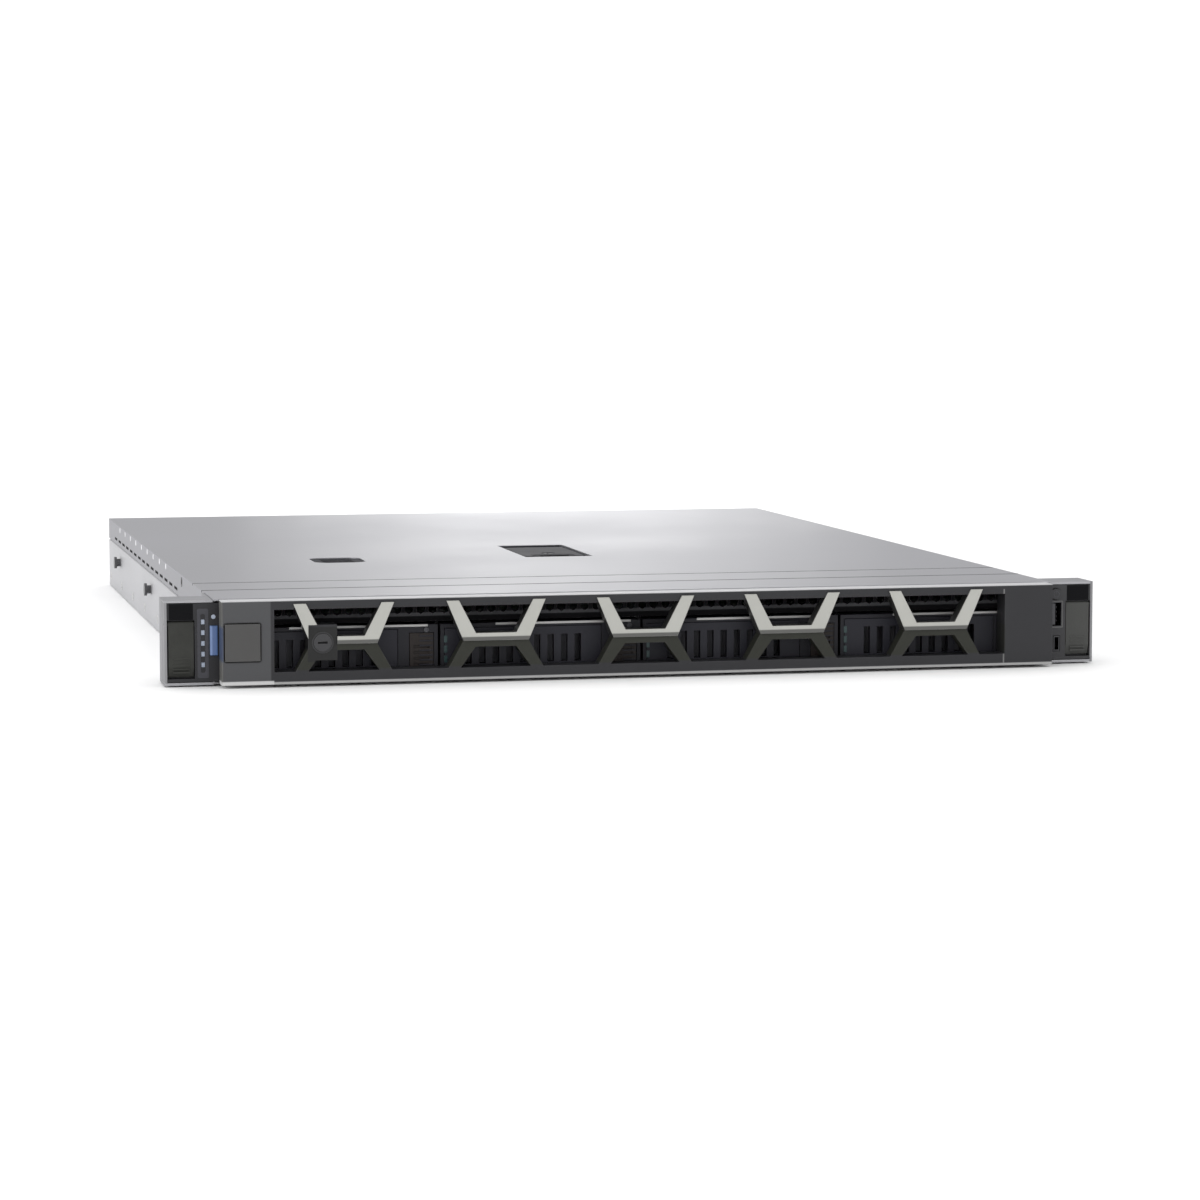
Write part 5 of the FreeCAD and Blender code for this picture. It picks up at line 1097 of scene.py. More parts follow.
TRIM_PAINT = Finish(
    "trim_paint", (0.43, 0.43, 0.40), (0.66, 0.66, 0.64), metallic=0.3, roughness=0.36, clouds=60.0,
    grain=5200.0, tone=0.06, relief=0.2, edge=0.0005, wear=0.35, coat=0.15,
    bands=(
        # Painted shade: the bottom of the trim's bar is darkened where its lower edge lies in shade.
        Band((0.10, 0.10, 0.095), z=(20.0, 22.3), soft=0.5),
        Band((0.040, 0.040, 0.038), y=(-291.5, -270.0), soft=0.4),
    ),
)
BUTTON_PLASTIC = Finish(
    "release_button_plastic", (0.066, 0.065, 0.064), (0.2, 0.2, 0.2), roughness=0.45, clouds=80.0,
    grain=2600.0, relief=0.3, edge=0.0005, wear=0.4, specular=0.35,
)
PANEL_PLASTIC = Finish(
    "control_panel_plastic", (0.026, 0.026, 0.029), (0.12, 0.12, 0.12), roughness=0.42, clouds=60.0,
    grain=3000.0, relief=0.15, wear=0.3, specular=0.25,
    # Painted light: the right ear's panel is lightened because it is lit more brightly than the left.
    bands=(Band((0.045, 0.045, 0.048), x=(216.0, 243.0), soft=0.5),),
)
STRIP_PLASTIC = Finish(
    "light_strip_plastic", (0.050, 0.050, 0.059), (0.15, 0.15, 0.15), roughness=0.4, clouds=90.0,
    grain=3000.0, relief=0.2, wear=0.3, specular=0.3,
)
FLAP_PLASTIC = Finish(
    "flap_plastic", (0.033, 0.034, 0.030), (0.13, 0.13, 0.12), roughness=0.6, clouds=120.0, grain=1600.0,
    tone=0.22, relief=0.6, relief_depth=0.00006, wear=0.45, specular=0.28,
    # Painted light: the right flap is lightened because it is lit more brightly than the left.
    bands=(Band((0.060, 0.061, 0.058), x=(216.0, 243.0), soft=0.5),),
)
LATCH_PLASTIC = Finish(
    "latch_plastic", (0.048, 0.048, 0.054), (0.2, 0.2, 0.2), roughness=0.7, clouds=50.0, grain=2400.0,
    relief=0.35, edge=0.0005, wear=0.4, specular=0.2,
)
PAD_PLASTIC = Finish(
    "thumb_pad_plastic", (0.032, 0.032, 0.038), (0.14, 0.14, 0.14), roughness=0.75, clouds=70.0,
    grain=2000.0, relief=0.5, wear=0.4, specular=0.15,
)
CARRIER_PLASTIC = Finish(
    "carrier_plastic", (0.023, 0.023, 0.028), (0.10, 0.10, 0.11), roughness=0.5, clouds=50.0, grain=2400.0,
    relief=0.35, wear=0.4, specular=0.2,
)
LEVER_PLASTIC = Finish(
    "carrier_lever_plastic", (0.024, 0.024, 0.032), (0.12, 0.12, 0.14), roughness=0.45, clouds=45.0,
    grain=2400.0, relief=0.3, wear=0.45, specular=0.22,
)
RELEASE_PLASTIC = Finish(
    "carrier_release_plastic", (0.030, 0.024, 0.022), (0.12, 0.10, 0.09), roughness=0.5, clouds=120.0,
    grain=2400.0, tone=0.2, relief=0.3, wear=0.45, specular=0.22,
)
# Painted shade: near-black matt plates stand for the shade above the flaps and inside the skirt's slits.
PAINTED_SHADE_BLACK = Finish(
    "painted_shade_black", (0.006, 0.006, 0.007), (0.02, 0.02, 0.02), roughness=0.8, clouds=60.0, specular=0.1,
)
# Painted highlight: spot weld dots in near-white, standing for the glints along the skirt's upper edge.
WELD_HIGHLIGHT = Finish(
    "weld_highlight", (0.90, 0.90, 0.92), (0.95, 0.95, 0.95), roughness=0.5, clouds=300.0, relief=0.3, wear=0.2,
)
ZINC_RIM = Finish(
    "port_rim", (0.10, 0.10, 0.10), (0.3, 0.3, 0.3), metallic=0.3, roughness=0.45, clouds=120.0, wear=0.4,
)
SHELF_LIGHT = Finish(
    "carrier_edge_plate", (0.42, 0.42, 0.41), (0.8, 0.8, 0.8), metallic=0.3, roughness=0.35, clouds=20.0,
    tone=0.25, wear=0.4,
)
SOCKET_PLASTIC = Finish(
    "socket_plastic", (0.018, 0.018, 0.020), (0.10, 0.10, 0.10), roughness=0.4, clouds=90.0, relief=0.25,
    wear=0.3,
)
TONGUE_BLUE = Finish(
    "socket_tongue", (0.03, 0.12, 0.42), (0.1, 0.25, 0.6), roughness=0.4, clouds=200.0, wear=0.3,
)
TAB_TERRACOTTA = Finish(
    "supply_release_tab", (0.42, 0.13, 0.045), (0.6, 0.3, 0.15), roughness=0.42, clouds=120.0, wear=0.5,
)
FAN_PLASTIC = Finish(
    "fan_plastic", (0.022, 0.022, 0.024), (0.1, 0.1, 0.1), roughness=0.42, clouds=60.0, relief=0.3, wear=0.3,
)
CHIP_RESIN = Finish(
    "chip_resin", (0.022, 0.022, 0.024), (0.08, 0.08, 0.08), roughness=0.55, clouds=250.0, relief=0.4,
)
SLEEVE = Finish("capacitor_sleeve", (0.03, 0.035, 0.06), (0.2, 0.2, 0.25), roughness=0.35, clouds=200.0)
CAGE_STEEL = Finish(
    "cage_steel", (0.66, 0.66, 0.64), (0.85, 0.85, 0.85), metallic=0.7, roughness=0.34, clouds=40.0,
    tone=0.12, relief=0.15, edge=0.0002, wear=0.3,
    bands=(
        Band((0.010, 0.010, 0.011), y=(-280.0, -271.0), soft=0.2, matt=True),
        Band((0.085, 0.085, 0.09), y=(-280.0, -271.0), z=(31.7, 33.1), soft=0.3, matt=True),
    ),
)
BOARD_LACQUER = Laminate(
    "board_lacquer", (0.012, 0.085, 0.045), (0.35, 0.3, 0.2), roughness=0.32, clouds=25.0, relief=0.2,
    wear=0.2, coat=0.3,
)
STATUS_LAMP = Lamp(
    "status_lamp", (0.22, 0.25, 0.30), (0.4, 0.4, 0.4), roughness=0.35, clouds=600.0,
    glow=(0.50, 0.56, 0.70), far_glow=(0.26, 0.30, 0.40), strength=0.26, reach=(8.0, 34.0),
)
IDENTITY_LAMP = Lamp(
    "identity_lamp", (0.02, 0.035, 0.09), (0.2, 0.25, 0.4), roughness=0.3, clouds=200.0,
    glow=(0.38, 0.50, 0.78), far_glow=(0.06, 0.10, 0.20), strength=0.85, axis="X", reach=(-217.2, -219.4),
)
LINK_LAMP = Lamp(
    "link_lamp", (0.1, 0.3, 0.12), (0.4, 0.6, 0.4), roughness=0.3, clouds=300.0, glow=(0.15, 0.9, 0.25),
    far_glow=(0.05, 0.5, 0.1), strength=0.8, reach=(6.0, 40.0),
)
ACTIVITY_LAMP = Lamp(
    "activity_lamp", (0.015, 0.035, 0.036), (0.1, 0.15, 0.15), roughness=0.35, clouds=300.0,
    glow=(0.02, 0.06, 0.06), far_glow=(0.01, 0.03, 0.03), strength=0.2, reach=(4.0, 26.0),
)
STAGE_PAPER = Finish(
    "stage_paper", (0.93, 0.93, 0.93), (0.93, 0.93, 0.93), roughness=0.8, clouds=1.5, grain=60.0, tone=0.004,
    relief=0.0, wear=0.0, specular=0.1,
)

# Planes of the bezel's face, the ears' faces, the rear wall and the case's sides
FACE = -292.65
EAR_FACE = -278.85
ON_EAR_FACE = (EAR_FACE - 0.1, EAR_FACE + 0.2)
REAR_FACE = 289.65
CASE_SIDE = 217.0


@dataclass
class CaseShell(Assembly):
    """Tray, front strip, sliding lid and rail studs, with the fasteners that show on the walls."""

    title: str = "case"
    weld_first: float = -60.0
    weld_pitch: float = 34.0
    weld_count: int = 9
    weld_height: float = 40.6
    clinch_first: float = -228.0
    clinch_pitch: float = 72.0
    clinch_count: int = 8
    clinch_height: float = 6.5
    screw_radius: float = 2.1
    screw_spots: tuple[Span, ...] = ((-248.0, 36.6), (-258.0, 12.0))
    slit_first: float = -110.0
    slit_pitch: float = 25.0
    slit_count: int = 15
    slit_height: float = 33.2
    hole_back: float = -138.85
    hole_height: float = 38.9

    def finishes(self) -> dict[str, Finish]:
        """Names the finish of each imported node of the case."""
        return {
            "chassis_tray": WALL_STEEL,
            "front_top_strip": LID_STEEL,
            "top_cover": LID_STEEL,
            "cross_brace": WALL_STEEL,
            "rail_studs": STUD_STEEL,
            "fan_wall": WALL_STEEL,
        }

    def build(self) -> None:
        """Adds spot welds painted near-white as highlights, slits drawn as dark dashes of painted shade and a
        bushing to the lid's skirts, and rings and screws to the walls.
        """
        welds, clinches, screws, slits, bushings = Spots(), Spots(), Spots(), Spots(), Spots()
        for side, facing in ((-1, Facing.LEFT), (1, Facing.RIGHT)):
            wall = side * CASE_SIDE
            weld_start = (wall, self.weld_first, self.weld_height)
            welds.put(row(weld_start, (0.0, self.weld_pitch, 0.0), self.weld_count), facing)
            clinch_start = (wall, self.clinch_first, self.clinch_height)
            clinches.put(row(clinch_start, (0.0, self.clinch_pitch, 0.0), self.clinch_count), facing)
            screws.put([(wall, *spot) for spot in self.screw_spots], facing)
            slit_start = (wall, self.slit_first, self.slit_height)
            slits.put(row(slit_start, (0.0, self.slit_pitch, 0.0), self.slit_count), facing)
            bushings.put([(wall, self.hole_back, self.hole_height)], facing)
        # Painted highlight: the spot welds are near-white dots that stand for glints along the skirt's top
        # edge.
        dots = welds.grow("lid_spot_weld_highlights", Detail.EYELET, WELD_HIGHLIGHT, Radius=1.6, Hole_Radius=0.4, Height=0.3)
        self.mount(dots, "cover", Slot.STEEL)
        rings = clinches.grow(
            "wall_clinch_rings", Detail.EYELET, BARE_STEEL, Radius=2.6, Hole_Radius=1.5, Height=0.36
        )
        self.mount(rings, "chassis", Slot.STEEL)
        # Painted shade: thin dark dashes stand for the shade inside the skirt's slits.
        dashes = slits.grow("skirt_slits", Detail.BLOCK, PAINTED_SHADE_BLACK, Width=1.5, Length=15.0, Height=0.1)
        self.mount(dashes, "cover", Slot.STEEL)
        eyes = bushings.grow(
            "skirt_bushings", Detail.EYELET, SOCKET_PLASTIC, Radius=2.6, Hole_Radius=1.4, Height=0.3
        )
        self.mount(eyes, "cover", Slot.BLACK)
        heads = screws.grow(
            "wall_screws", Detail.SCREW, BARE_STEEL,
            Head_Radius=self.screw_radius, Head_Height=0.9, Socket_Radius=1.0, Socket_Depth=0.7,
        )
        self.mount(heads, "chassis", Slot.SCREW)


@dataclass
class LidLatch(Assembly):
    """Thumb pad and latch of the sliding lid, with the ribs a finger pulls on."""

    title: str = "lid latch"
    rib_pitch: float = 3.2
    rib_count: int = 8
    lever_ribs: int = 4
    lever_pitch: float = 1.9
    lever_edge: float = 2.6

    def finishes(self) -> dict[str, Finish]:
        """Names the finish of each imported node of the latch."""
        return {
            "cover_grip_pad": PAD_PLASTIC,
            "cover_latch_pan": PAD_PLASTIC,
            "cover_latch_lever": LATCH_PLASTIC,
            "cover_latch_lock": STRIP_PLASTIC,
        }

    def build(self) -> None:
        """Adds ribs to the pad and the lever."""
        low, high = corners("cover_grip_pad")
        middle = (low + high) / 2
        start = (middle.x, middle.y - self.rib_pitch * (self.rib_count - 1) / 2, high.z)
        ribs = Spots().put(row(start, (0.0, self.rib_pitch, 0.0), self.rib_count), Facing.UP)
        pad = ribs.grow("thumb_pad_ribs", Detail.BLOCK, PAD_PLASTIC, Width=17.0, Length=1.1, Height=0.6)
        self.mount(pad, "cover", Slot.BLACK)
        low, high = corners("cover_latch_lever")
        start = ((low.x + high.x) / 2, low.y + self.lever_edge, high.z - 0.05)
        ribs = Spots().put(row(start, (0.0, self.lever_pitch, 0.0), self.lever_ribs), Facing.UP)
        lever = ribs.grow("latch_lever_ribs", Detail.BLOCK, LATCH_PLASTIC, Width=24.0, Length=0.8, Height=0.5)
        self.mount(lever, "cover_latch", Slot.BLACK)


@dataclass
class RackEars(Assembly):
    """Steel ears with their flaps and captive screws."""

    title: str = "rack ears"
    ridge_count: int = 5
    ridge_pitch: float = 1.7
    ridge_foot: float = 2.2
    knurl_count: int = 20
    knurl_back: float = 3.6
    shade_top: float = 40.7
    shade_inset: float = 2.0

    def finishes(self) -> dict[str, Finish]:
        """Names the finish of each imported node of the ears."""
        return {
            "left_ear_bracket": EDGE_STEEL,
            "right_ear_bracket": EDGE_STEEL,
            "left_slam_latch": FLAP_PLASTIC,
            "right_slam_latch": FLAP_PLASTIC,
            "left_rack_screw": BARE_STEEL,
            "right_rack_screw": BARE_STEEL,
        }

    def build(self) -> None:
        """Adds finger ridges to the flaps, a black plate of painted shade above them, and knurls to the screws.
        """
        for hand in ("left", "right"):
            low, high = corners(f"{hand}_slam_latch")
            start = ((low.x + high.x) / 2, low.y + 0.05, low.z + self.ridge_foot)
            ridges = Spots().put(row(start, (0.0, 0.0, self.ridge_pitch), self.ridge_count), Facing.FRONT)
            flap = ridges.grow(
                f"{hand}_flap_ridges", Detail.BLOCK, FLAP_PLASTIC, Width=8.0, Length=0.7, Height=0.5
            )
            self.mount(flap, f"{hand}_latch", Slot.BEZEL)
            # Painted shade: a black plate above each flap stands for the shade in the flap's bay.
            shade = Shaper()
            across = (low.x + self.shade_inset, high.x - self.shade_inset)
            shade.block(across, ON_EAR_FACE, (high.z + 0.5, self.shade_top))
            self.mount(shade.hand_over(f"{hand}_flap_shade", PAINTED_SHADE_BLACK), "chassis", Slot.BLACK)
            low, high = corners(f"{hand}_rack_screw")
            middle = (low + high) / 2
            radius = (high.z - low.z) / 2
            knurls = Spots()
            for over, up in ring_of((0.0, 0.0), 1.0, self.knurl_count):
                place = (middle.x + radius * over, high.y - self.knurl_back, middle.z + radius * up)
                knurls.places.append(place)
                knurls.ways.append((over, 0.0, up))
            head = knurls.grow(
                f"{hand}_screw_knurls", Detail.BLOCK, BARE_STEEL, Width=0.6, Length=5.6, Height=0.5
            )
            self.mount(head, f"{hand}_screw", Slot.SCREW)


@dataclass
class ControlPanels(Assembly):
    """Moulded panels in the ears with the lights, buttons and sockets they carry."""

    title: str = "control panels"
    strip_outer: Span = (5.6, 34.4)
    strip_inner: Span = (2.2, 29.0)
    mark_radius: float = 1.1
    mark_lift: float = 4.6
    power_ring: Span = (1.7, 1.3)
    port_rim: float = 1.0
    contact_pitch: float = 2.33
    contact_count: int = 4

    def finishes(self) -> dict[str, Finish]:
        """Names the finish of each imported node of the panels."""
        return {
            "left_control_housing": PANEL_PLASTIC,
            "right_control_housing": PANEL_PLASTIC,
            "status_light_pipe": STATUS_LAMP,
            "system_id_button": IDENTITY_LAMP,
            "power_button": PANEL_PLASTIC,
            "front_usb_port": PORT_STEEL,
            "front_service_port": PORT_STEEL,
        }

    def build(self) -> None:
        """Adds the light strip, the identity mark, the power ring, and the port's rim and contacts."""
        low, high = corners("status_light_pipe")
        strip = Shaper()
        centre = ((low.x + high.x) / 2, (low.z + high.z) / 2)
        strip.washer(
            Plane.XZ,
            rounded_box(centre, *self.strip_outer, 1.0),
            rounded_box(centre, *self.strip_inner, 0.8),
            (EAR_FACE - 0.12, EAR_FACE + 0.3),
        )
        self.mount(strip.hand_over("status_light_strip", STRIP_PLASTIC), "chassis", Slot.BLACK)
        low, high = corners("system_id_button")
        mark = Shaper()
        spot = (low.x + 1.5, high.z + self.mark_lift)
        mark.disc(Plane.XZ, spot, self.mark_radius, ON_EAR_FACE, 18)
        self.mount(mark.hand_over("identity_mark", STATUS_LAMP), "chassis", Slot.LIGHT)
        low, high = corners("power_button")
        ring = Shaper()
        centre = ((low.x + high.x) / 2, (low.z + high.z) / 2)
        outer, inner = (ring_of(centre, radius, 28, 70.0) for radius in self.power_ring)
        ring.washer(Plane.XZ, outer, inner, (low.y - 0.06, low.y + 0.2))
        across, up = (centre[0] - 0.2, centre[0] + 0.2), (centre[1] + 0.3, centre[1] + 2.0)
        ring.block(across, (low.y - 0.08, low.y + 0.2), up)
        self.mount(ring.hand_over("power_ring", STRIP_PLASTIC), "power", Slot.LIGHT)
        low, high = corners("front_usb_port")
        middle = (low + high) / 2
        centre = (middle.x, middle.z)
        wide, tall = high.x - low.x, high.z - low.z
        rim = Shaper()
        rim.washer(
            Plane.XZ,
            rounded_box(centre, wide + self.port_rim, tall + self.port_rim, 0.6),
            rounded_box(centre, wide - 0.1, tall - 0.1, 0.3),
            ON_EAR_FACE,
        )
        self.mount(rim.hand_over("front_usb_rim", ZINC_RIM), "chassis", Slot.SCREW)
        first = (middle.x + 0.35, low.y + 5.2, middle.z - 3.5)
        reach = Spots().put(row(first, (0.0, 0.0, self.contact_pitch), self.contact_count), Facing.LEFT)
        pins = reach.grow("front_usb_contacts", Detail.BLOCK, PORT_STEEL, Width=1.0, Length=7.0, Height=0.3)
        self.mount(pins, "chassis", Slot.SCREW)


@dataclass
class Bezel(Assembly):
    """Locking front frame with its bright hexagon struts."""

    title: str = "bezel"
    rim: float = 0.5
    lock_ring: float = 5.4

    def finishes(self) -> dict[str, Finish]:
        """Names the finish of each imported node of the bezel."""
        return {
            "bezel_frame": BEZEL_PLASTIC,
            "bezel_hex_trim": TRIM_PAINT,
            "bezel_release_button": BUTTON_PLASTIC,
            "bezel_key_lock": LOCK_STEEL,
        }

    def build(self) -> None:
        """Adds the rim round the button and the ring round the lock."""
        low, high = corners("bezel_release_button")
        centre = ((low.x + high.x) / 2, (low.z + high.z) / 2)
        wide, tall = high.x - low.x + 1.0, high.z - low.z + 1.0
        rim = Shaper()
        rim.washer(
            Plane.XZ,
            rounded_box(centre, wide + self.rim, tall + self.rim, 1.6),
            rounded_box(centre, wide - 0.15, tall - 0.15, 1.3),
            (FACE + 0.86, FACE + 1.3),
        )
        self.mount(rim.hand_over("release_button_rim", SOCKET_PLASTIC), "bezel", Slot.BEZEL)
        low, high = corners("bezel_key_lock")
        middle = (low + high) / 2
        ring = Shaper()
        ring.washer(
            Plane.XZ,
            ring_of((middle.x, middle.z), self.lock_ring, 32),
            ring_of((middle.x, middle.z), (high.z - low.z) / 2 + 0.15, 32),
            (FACE + 0.72, FACE + 1.5),
        )
        self.mount(ring.hand_over("key_lock_ring", SOCKET_PLASTIC, 0.15), "bezel", Slot.BEZEL)


@dataclass
class DriveBays(Assembly):
    """Cage, carriers, their levers and the drives behind the bezel."""

    title: str = "drive bays"
    bays: int = 4
    lamp_wide: float = 1.6
    lamp_count: int = 3
    lamp_pitch: float = 5.0
    rib_count: int = 8
    rib_pitch: float = 2.4
    rib_inset: float = 5.8
    plate_from: float = 28.0
    plate_to: float = 5.0

    def finishes(self) -> dict[str, Finish]:
        """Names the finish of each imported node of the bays."""
        named: dict[str, Finish] = {
            "drive_cage": CAGE_STEEL,
            "drive_levers": LEVER_PLASTIC,
            "hard_drives": DRIVE_STEEL,
            "drive_backplane": BOARD_LACQUER,
        }
        for bay in range(1, self.bays + 1):
            named[f"drive_carrier_{bay}"] = CARRIER_PLASTIC
            named[f"drive_button_{bay}"] = RELEASE_PLASTIC
        return named

    def build(self) -> None:
        """Adds status windows, ribs, screws and bright edge plates to the carriers."""
        windows, ribs, screws, plates = Spots(), Spots(), Spots(), Shaper()
        for bay in range(1, self.bays + 1):
            low, high = corners(f"drive_carrier_{bay}")
            first = (low.x + 2.6, low.y - 0.02, high.z - 7.5)
            windows.put(row(first, (0.0, 0.0, -self.lamp_pitch), self.lamp_count), Facing.FRONT)
            first = (high.x - self.rib_inset, low.y - 0.02, low.z + 4.0)
            ribs.put(row(first, (0.0, 0.0, self.rib_pitch), self.rib_count), Facing.FRONT)
            screws.put([(high.x - self.rib_inset, low.y - 0.1, high.z - 2.6)], Facing.FRONT)
            across = (low.x + self.plate_from, high.x - self.plate_to)
            plates.block(across, (low.y - 0.25, low.y + 0.2), (high.z - 0.9, high.z + 0.25))
        self.mount(plates.hand_over("carrier_edge_plates", SHELF_LIGHT, 0.1), "chassis", Slot.DRIVE)
        lamps = windows.grow(
            "carrier_lamps", Detail.BLOCK, ACTIVITY_LAMP, Width=self.lamp_wide, Length=3.4, Height=0.3
        )
        self.mount(lamps, "chassis", Slot.LIGHT)
        lines = ribs.grow("carrier_ribs", Detail.BLOCK, LEVER_PLASTIC, Width=7.0, Length=0.7, Height=0.5)
        self.mount(lines, "chassis", Slot.CARRIER)
        heads = screws.grow(
            "carrier_screws", Detail.SCREW, DRIVE_STEEL,
            Head_Radius=1.5, Head_Height=0.5, Socket_Radius=0.7, Socket_Depth=0.4,
        )
        self.mount(heads, "chassis", Slot.SCREW)


@dataclass
class CoolingFans(Assembly):
    """Row of fans behind the drives."""

    title: str = "fans"
    count: int = 4
    eyelet_reach: float = 16.6

    def finishes(self) -> dict[str, Finish]:
        """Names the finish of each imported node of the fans."""
        named: dict[str, Finish] = {"fan_frames": FAN_PLASTIC}
        for number in range(1, self.count + 1):
            named[f"fan_rotor_{number}"] = FAN_PLASTIC
        return named

    def build(self) -> None:
        """Adds eyelets at the corners of the frames."""
        eyes = Spots()
        high = corners("fan_frames")[1]
        for number in range(1, self.count + 1):
            part_low, part_high = corners(f"fan_rotor_{number}")
            middle = (part_low + part_high) / 2
            for over in (-self.eyelet_reach, self.eyelet_reach):
                for up in (-self.eyelet_reach, self.eyelet_reach):
                    eyes.put([(middle.x + over, high.y + 0.05, middle.z + up)], Facing.BACK)
        rings = eyes.grow(
            "fan_corner_eyelets", Detail.EYELET, BARE_STEEL, Radius=2.4, Hole_Radius=1.5, Height=0.5
        )
        self.mount(rings, "chassis", Slot.STEEL)


@dataclass
class PowerSupply(Assembly):
    """Supply with its fan, board and inlet, and the handle that pulls it out."""

    title: str = "power supply"
    handle_across: float = -164.4
    handle_radius: float = 1.15
    handle_reach: float = 2.6
    handle_half: float = 13.0
    handle_bend: float = 1.7
    bend_steps: int = 4
    screw_inset: float = 3.0
    can_pitch: float = 15.0

    def finishes(self) -> dict[str, Finish]:
        """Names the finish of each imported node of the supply."""
        return {
            "psu_case": WALL_STEEL,
            "psu_board": BOARD_LACQUER,
            "psu_fan_frame": FAN_PLASTIC,
            "psu_fan_rotor": FAN_PLASTIC,
            "mains_inlet": SOCKET_PLASTIC,
        }

    def build(self) -> None:
        """Adds the handle, release tab, lamp and screws at the back, and the cans on the board."""
        case_low, case_high = corners("psu_case")
        face = case_high.y
        middle = (case_low.z + case_high.z) / 2
        out = face + self.handle_reach
        bail = Shaper()
        across, bend = self.handle_across, self.handle_bend
        low, high = middle - self.handle_half, middle + self.handle_half
        turns = [math.radians(90.0 * step / self.bend_steps) for step in range(self.bend_steps + 1)]
        path = [(across, face - 0.5, low), (across, face + 0.9, low)]
        for turn in turns:
            path.append((across, out - bend + bend * math.sin(turn), low + bend * (1.0 - math.cos(turn))))
        for turn in turns:
            path.append((across, out - bend + bend * math.cos(turn), high - bend * (1.0 - math.sin(turn))))
        path += [(across, face + 0.9, high), (across, face - 0.5, high)]
        bail.sweep(path, self.handle_radius, 12)
        self.mount(bail.hand_over("supply_handle", FAN_PLASTIC), "chassis", Slot.BLACK)
        tab = Shaper()
        tab.prism(
            Plane.YZ,
            [(face - 0.2, 1.9), (face + 3.0, 2.1), (face + 3.2, 3.4), (face + 1.2, 4.6), (face - 0.2, 4.8)],
            across - 6.0,
            across + 6.0,
        )
        self.mount(tab.hand_over("supply_release_tab", TAB_TERRACOTTA, 0.25), "chassis", Slot.BLACK)
        lamp = Shaper()
        lamp.disc(Plane.XZ, (across + 12.0, case_high.z - 4.6), 1.4, (face - 0.2, face + 0.35), 18)
        self.mount(lamp.hand_over("supply_lamp", LINK_LAMP, 0.1), "chassis", Slot.LIGHT)
        inset = self.screw_inset
        left, right = case_low.x + inset, case_high.x - inset
        bottom, top = case_low.z + inset, case_high.z - inset
        corners_at = [(left, face, bottom), (left, face, top), (right, face, top), (right, face, bottom)]
        screws = Spots().put(corners_at, Facing.BACK).grow(
            "supply_screws", Detail.SCREW, BARE_STEEL,
            Head_Radius=2.2, Head_Height=1.0, Socket_Radius=1.0, Socket_Depth=0.7,
        )
        self.mount(screws, "chassis", Slot.SCREW)
        low, high = corners("psu_board")
        top = case_low.z + 6.9
        places = row((low.x + 8.0, low.y + 18.0, top), (0.0, self.can_pitch, 0.0), 5)
        places += row((high.x - 8.0, low.y + 24.0, top), (0.0, self.can_pitch, 0.0), 4)
        cans = Spots().put(places, Facing.UP).grow(
            "supply_capacitors", Detail.CAN, SLEEVE, Radius=5.6, Height=24.0, Rim=0.6
        )
        self.mount(cans, "chassis", Slot.BOARD)


